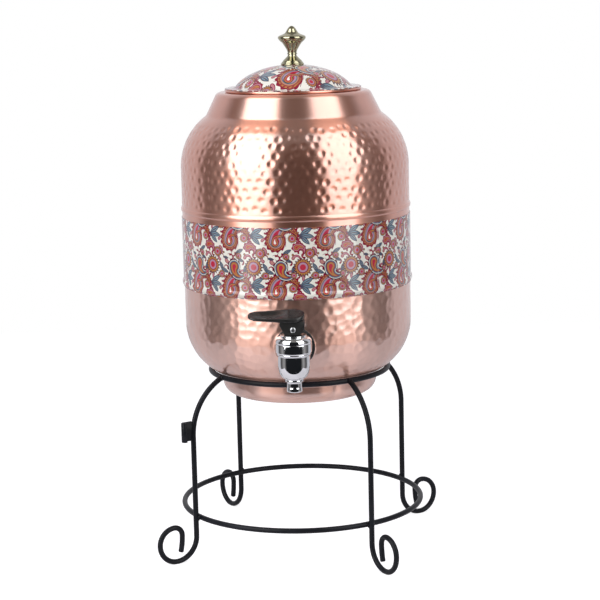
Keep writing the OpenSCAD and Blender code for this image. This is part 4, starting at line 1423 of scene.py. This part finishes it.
class DISPENSER_OT_stand(bpy.types.Operator):
    """Bend the wire stand: two rings, four legs with scrolled feet, and the clip on one leg"""

    bl_idname = "dispenser.stand"
    bl_label = "Wire stand"

    def execute(self, context):
        lacquer = wire_lacquer()
        draw = random.Random(SEED)
        weld = context.scene.dispenser_fittings.weld / MM
        for node, radius, height in (("stand_top_ring", TOP_RING_R, TOP_RING_Z),
                                     ("stand_lower_ring", LOWER_RING_R, LOWER_RING_Z)):
            section = arc((radius, height), WIRE_R, 0.0, 360.0, WIRE_SIDES)[:-1]
            ring = piece_of(title(node), lacquer, turn(section, RING_TURNS), ring=True)
            seat(ring, "black_wire", node)
        flat = leg_path()
        path = np.stack([flat[:, 0], np.zeros(len(flat)), flat[:, 1]], -1)
        welds = (((TOP_RING_R + 1.9, 0.0, TOP_RING_Z), (weld * 0.55, weld * 0.95, weld * 0.8)),
                 (((LOWER_RING_R + LEG_R) / 2, 0.0, LOWER_RING_Z), (weld * 0.45, weld, weld)))
        rows = tube(path, WIRE_R, WIRE_SIDES)
        for node, angle in LEG_ANGLES.items():
            leg = Shape()
            leg.add_rows(stand_up(rows, angle), start=stand_up(path[0], angle), end=stand_up(path[-1], angle))
            for at, half in welds:
                leg.add_rows(stand_up(weld_rows(at, half, draw), angle))
            for points in leg.points:
                points[:, 2] = np.maximum(points[:, 2], 0.0)
            seat(leg.make(title(node), lacquer), "black_wire", node)

        clip_low, clip_high, clip_t, clip_edge, roll_r, roll_turn = 105.5, 122.5, 1.6, 0.4, 1.3, 200.0
        weld_x, roll_x = 109.9, LEG_R + WIRE_R + 7.0
        middle_r = roll_r + clip_t / 2
        plan = chain(line((weld_x, 0.0), (roll_x, 0.0), 6),
                     arc((roll_x, middle_r), middle_r, -90.0, roll_turn - 90.0, 24))
        strip = strip_rows(plan, clip_t, clip_low, clip_high, clip_edge)
        rows = stand_up(strip, LEG_ANGLES["leg_front_left"])
        seat(piece_of("Side_Clip", lacquer, rows, FINE_SHARP), "black_wire", "side_clip")
        return {"FINISHED"}


# The stage: the camera's place round the object in metres and degrees, and where the lamps stand
CAMERA_BACK, CAMERA_UP, CAMERA_ROUND = 1.600, 0.4928, 2.0
CAMERA_TILT, CAMERA_PAN, CAMERA_ROLL = 9.865, 0.062, -1.352
TABLE_HALF, TABLE_FRONT, TABLE_BACK = 0.50, -0.32, 1.0
LAMP_AWAY, LAMP_TALL, LAMP_RAISED = 1.3, 1.95, 29.0
LAMP_AIM = 0.22
LAMP_ROUND = {"Left": -48.0, "Right": 49.5}
LAMP_LEAN = {"Left": 14.0, "Right": -8.0}
LAMP_WIDE = {"Left": 0.98, "Right": 0.82}
CAMERA_GLOW, MIRROR_GLOW = 0.74, 0.17
# How bright the room is round the object: share of a half turn away from the camera, and the colour there
ROOM = (
    (0.00, (0.012, 0.013, 0.015)),
    (0.30, (0.012, 0.013, 0.015)),
    (0.40, (0.34, 0.33, 0.33)),
    (0.48, (0.20, 0.19, 0.19)),
    (0.55, (0.04, 0.04, 0.04)),
    (0.64, (0.56, 0.56, 0.60)),
    (0.80, (0.60, 0.60, 0.64)),
    (1.00, (0.80, 0.79, 0.82)),
)
CEILING, CEILING_FROM = (0.24, 0.23, 0.22), (0.62, 0.9)
# Share of the room's brightness that lights the object where it isn't mirrored
ROOM_LIGHT = 0.8
FLOOR_ROUGHNESS, FLOOR_GLOSS = 0.9, 0.1


def make_world():
    """A white backdrop for the camera, and a studio that is dark behind the camera for what metal shows."""
    world = bpy.data.worlds.new("Studio")
    world.use_nodes = True
    tree = world.node_tree
    nodes = tree.nodes
    nodes.clear()
    split = nodes.new("ShaderNodeSeparateXYZ")
    feed(tree, nodes.new("ShaderNodeTexCoord").outputs["Generated"], split.inputs["Vector"])
    x, y, z = (Wire(tree, socket) for socket in split.outputs)
    turned = x.angle(y * -1.0).size() * (1 / math.pi)
    walls = ramp_of(tree, turned, [(position, (*colour, 1.0)) for position, colour in ROOM])
    room = mixed(tree, mask_between(tree, z, *CEILING_FROM), walls, (*CEILING, 1.0))
    path = nodes.new("ShaderNodeLightPath")
    shown = Wire(tree, path.outputs["Is Glossy Ray"]) + Wire(tree, path.outputs["Is Transmission Ray"])
    studio = nodes.new("ShaderNodeBackground")
    feed(tree, room, studio.inputs["Color"])
    feed(tree, shown * (1 - ROOM_LIGHT) + ROOM_LIGHT, studio.inputs["Strength"])
    backdrop = nodes.new("ShaderNodeBackground")
    backdrop.inputs["Color"].default_value = (1.0, 1.0, 1.0, 1.0)
    mix = nodes.new("ShaderNodeMixShader")
    feed(tree, path.outputs["Is Camera Ray"], mix.inputs["Fac"])
    feed(tree, studio.outputs["Background"], mix.inputs[1])
    feed(tree, backdrop.outputs["Background"], mix.inputs[2])
    feed(tree, mix.outputs["Shader"], nodes.new("ShaderNodeOutputWorld").inputs["Surface"])
    return world


def floor_finish(colour):
    """Pale floor that keeps a shadow and shows as white to the camera and in metal."""
    made = bpy.data.materials.new("Pale floor")
    made.use_nodes = True
    nodes, links = made.node_tree.nodes, made.node_tree.links
    shader = nodes["Principled BSDF"]
    shader.inputs["Base Color"].default_value = (*colour, 1.0)
    shader.inputs["Roughness"].default_value = FLOOR_ROUGHNESS
    shader.inputs["Specular IOR Level"].default_value = FLOOR_GLOSS
    glow = nodes.new("ShaderNodeEmission")
    path = nodes.new("ShaderNodeLightPath")
    camera, glossy, through = (Wire(made.node_tree, path.outputs[f"Is {ray} Ray"])
                               for ray in ("Camera", "Glossy", "Transmission"))
    strength = camera * CAMERA_GLOW + glossy.most(through) * MIRROR_GLOW
    links.new(strength.socket, glow.inputs["Strength"])
    both = nodes.new("ShaderNodeAddShader")
    links.new(shader.outputs["BSDF"], both.inputs[0])
    links.new(glow.outputs["Emission"], both.inputs[1])
    links.new(both.outputs["Shader"], nodes["Material Output"].inputs["Surface"])
    return made


class DISPENSER_OT_stage(bpy.types.Operator):
    """Set up the pale floor, the two soft lamps, the studio round them and the camera"""

    bl_idname = "dispenser.stage"
    bl_label = "Stage"

    def execute(self, context):
        stage = context.scene.dispenser_stage
        table = Shape()
        edges = ((-TABLE_HALF, TABLE_FRONT), (TABLE_HALF, TABLE_FRONT), (TABLE_HALF, TABLE_BACK),
                 (-TABLE_HALF, TABLE_BACK))
        table.add_points([(x / MM, y / MM, 0.0) for x, y in edges])
        table.faces.append([0, 1, 2, 3])
        table.make("Floor", floor_finish(stage.floor))
        for side, power in (("Left", stage.left_lamp), ("Right", stage.right_lamp)):
            lamp = bpy.data.lights.new(f"{side}_Lamp", "AREA")
            lamp.shape = "RECTANGLE"
            lamp.size, lamp.size_y = LAMP_WIDE[side], LAMP_TALL
            lamp.energy = power
            holder = bpy.data.objects.new(lamp.name, lamp)
            round_angle = math.radians(LAMP_ROUND[side] + CAMERA_ROUND)
            raised = math.radians(LAMP_RAISED)
            level = math.cos(raised)
            away = Vector((math.sin(round_angle) * level, -math.cos(round_angle) * level, math.sin(raised)))
            holder.location = away * LAMP_AWAY + Vector((0.0, 0.0, LAMP_AIM))
            facing = (-away).to_track_quat("-Z", "Y")
            lean = Quaternion((0.0, 0.0, 1.0), math.radians(LAMP_LEAN[side]))
            holder.rotation_euler = (facing @ lean).to_euler()
            holder.visible_camera = False
            context.scene.collection.objects.link(holder)
        context.scene.world = make_world()

        tilt, pan, roll = (math.radians(angle) for angle in (CAMERA_TILT, CAMERA_PAN, CAMERA_ROLL))
        ahead = Vector((math.sin(pan) * math.cos(tilt), math.cos(pan) * math.cos(tilt), -math.sin(tilt)))
        right = ahead.cross(Vector((0.0, 0.0, 1.0))).normalized()
        up = right.cross(ahead)
        right, up = right * math.cos(roll) + up * math.sin(roll), up * math.cos(roll) - right * math.sin(roll)
        place = Matrix((right, up, -ahead)).transposed().to_4x4()
        place.translation = (0.0, -CAMERA_BACK, CAMERA_UP)
        camera = bpy.data.objects.new("Camera", bpy.data.cameras.new("Camera"))
        camera.data.sensor_width = 36.0
        camera.data.lens = stage.lens
        camera.matrix_world = Matrix.Rotation(math.radians(CAMERA_ROUND), 4, "Z") @ place
        context.scene.collection.objects.link(camera)
        context.scene.camera = camera
        context.scene.view_settings.view_transform = "Standard"
        return {"FINISHED"}


class DISPENSER_PT_pieces(bpy.types.Panel):
    """Sizes, colours and build steps of the dispenser"""

    bl_idname = "DISPENSER_PT_pieces"
    bl_label = "Water dispenser"
    bl_space_type = "VIEW_3D"
    bl_region_type = "UI"
    bl_category = "Dispenser"

    def draw(self, context):
        for settings in SETTINGS:
            box = self.layout.box()
            for name in SETTINGS[settings].__annotations__:
                box.prop(getattr(context.scene, settings), name)
        for operator in OPERATORS:
            self.layout.operator(operator.bl_idname)


SETTINGS = {
    "dispenser_vessel": VesselSettings,
    "dispenser_print": PrintSettings,
    "dispenser_fittings": FittingSettings,
    "dispenser_stage": StageSettings,
}
OPERATORS = (
    DISPENSER_OT_stage,
    DISPENSER_OT_vessel,
    DISPENSER_OT_band,
    DISPENSER_OT_lid,
    DISPENSER_OT_knob,
    DISPENSER_OT_tap,
    DISPENSER_OT_valve,
    DISPENSER_OT_lever,
    DISPENSER_OT_stand,
)


def register():
    """Registers the settings, the operators and the panel."""
    for name, settings in SETTINGS.items():
        bpy.utils.register_class(settings)
        setattr(bpy.types.Scene, name, PointerProperty(type=settings))
    for operator in OPERATORS:
        bpy.utils.register_class(operator)
    bpy.utils.register_class(DISPENSER_PT_pieces)


def unregister():
    """Removes what register added."""
    bpy.utils.unregister_class(DISPENSER_PT_pieces)
    for operator in reversed(OPERATORS):
        bpy.utils.unregister_class(operator)
    for name, settings in reversed(SETTINGS.items()):
        delattr(bpy.types.Scene, name)
        bpy.utils.unregister_class(settings)


def main():
    """Builds the stage and every piece in order."""
    register()
    bpy.ops.dispenser.stage()
    bpy.ops.dispenser.vessel()
    bpy.ops.dispenser.band()
    bpy.ops.dispenser.lid()
    bpy.ops.dispenser.knob()
    bpy.ops.dispenser.tap()
    bpy.ops.dispenser.valve()
    bpy.ops.dispenser.lever()
    bpy.ops.dispenser.stand()


if __name__ == "__main__":
    main()
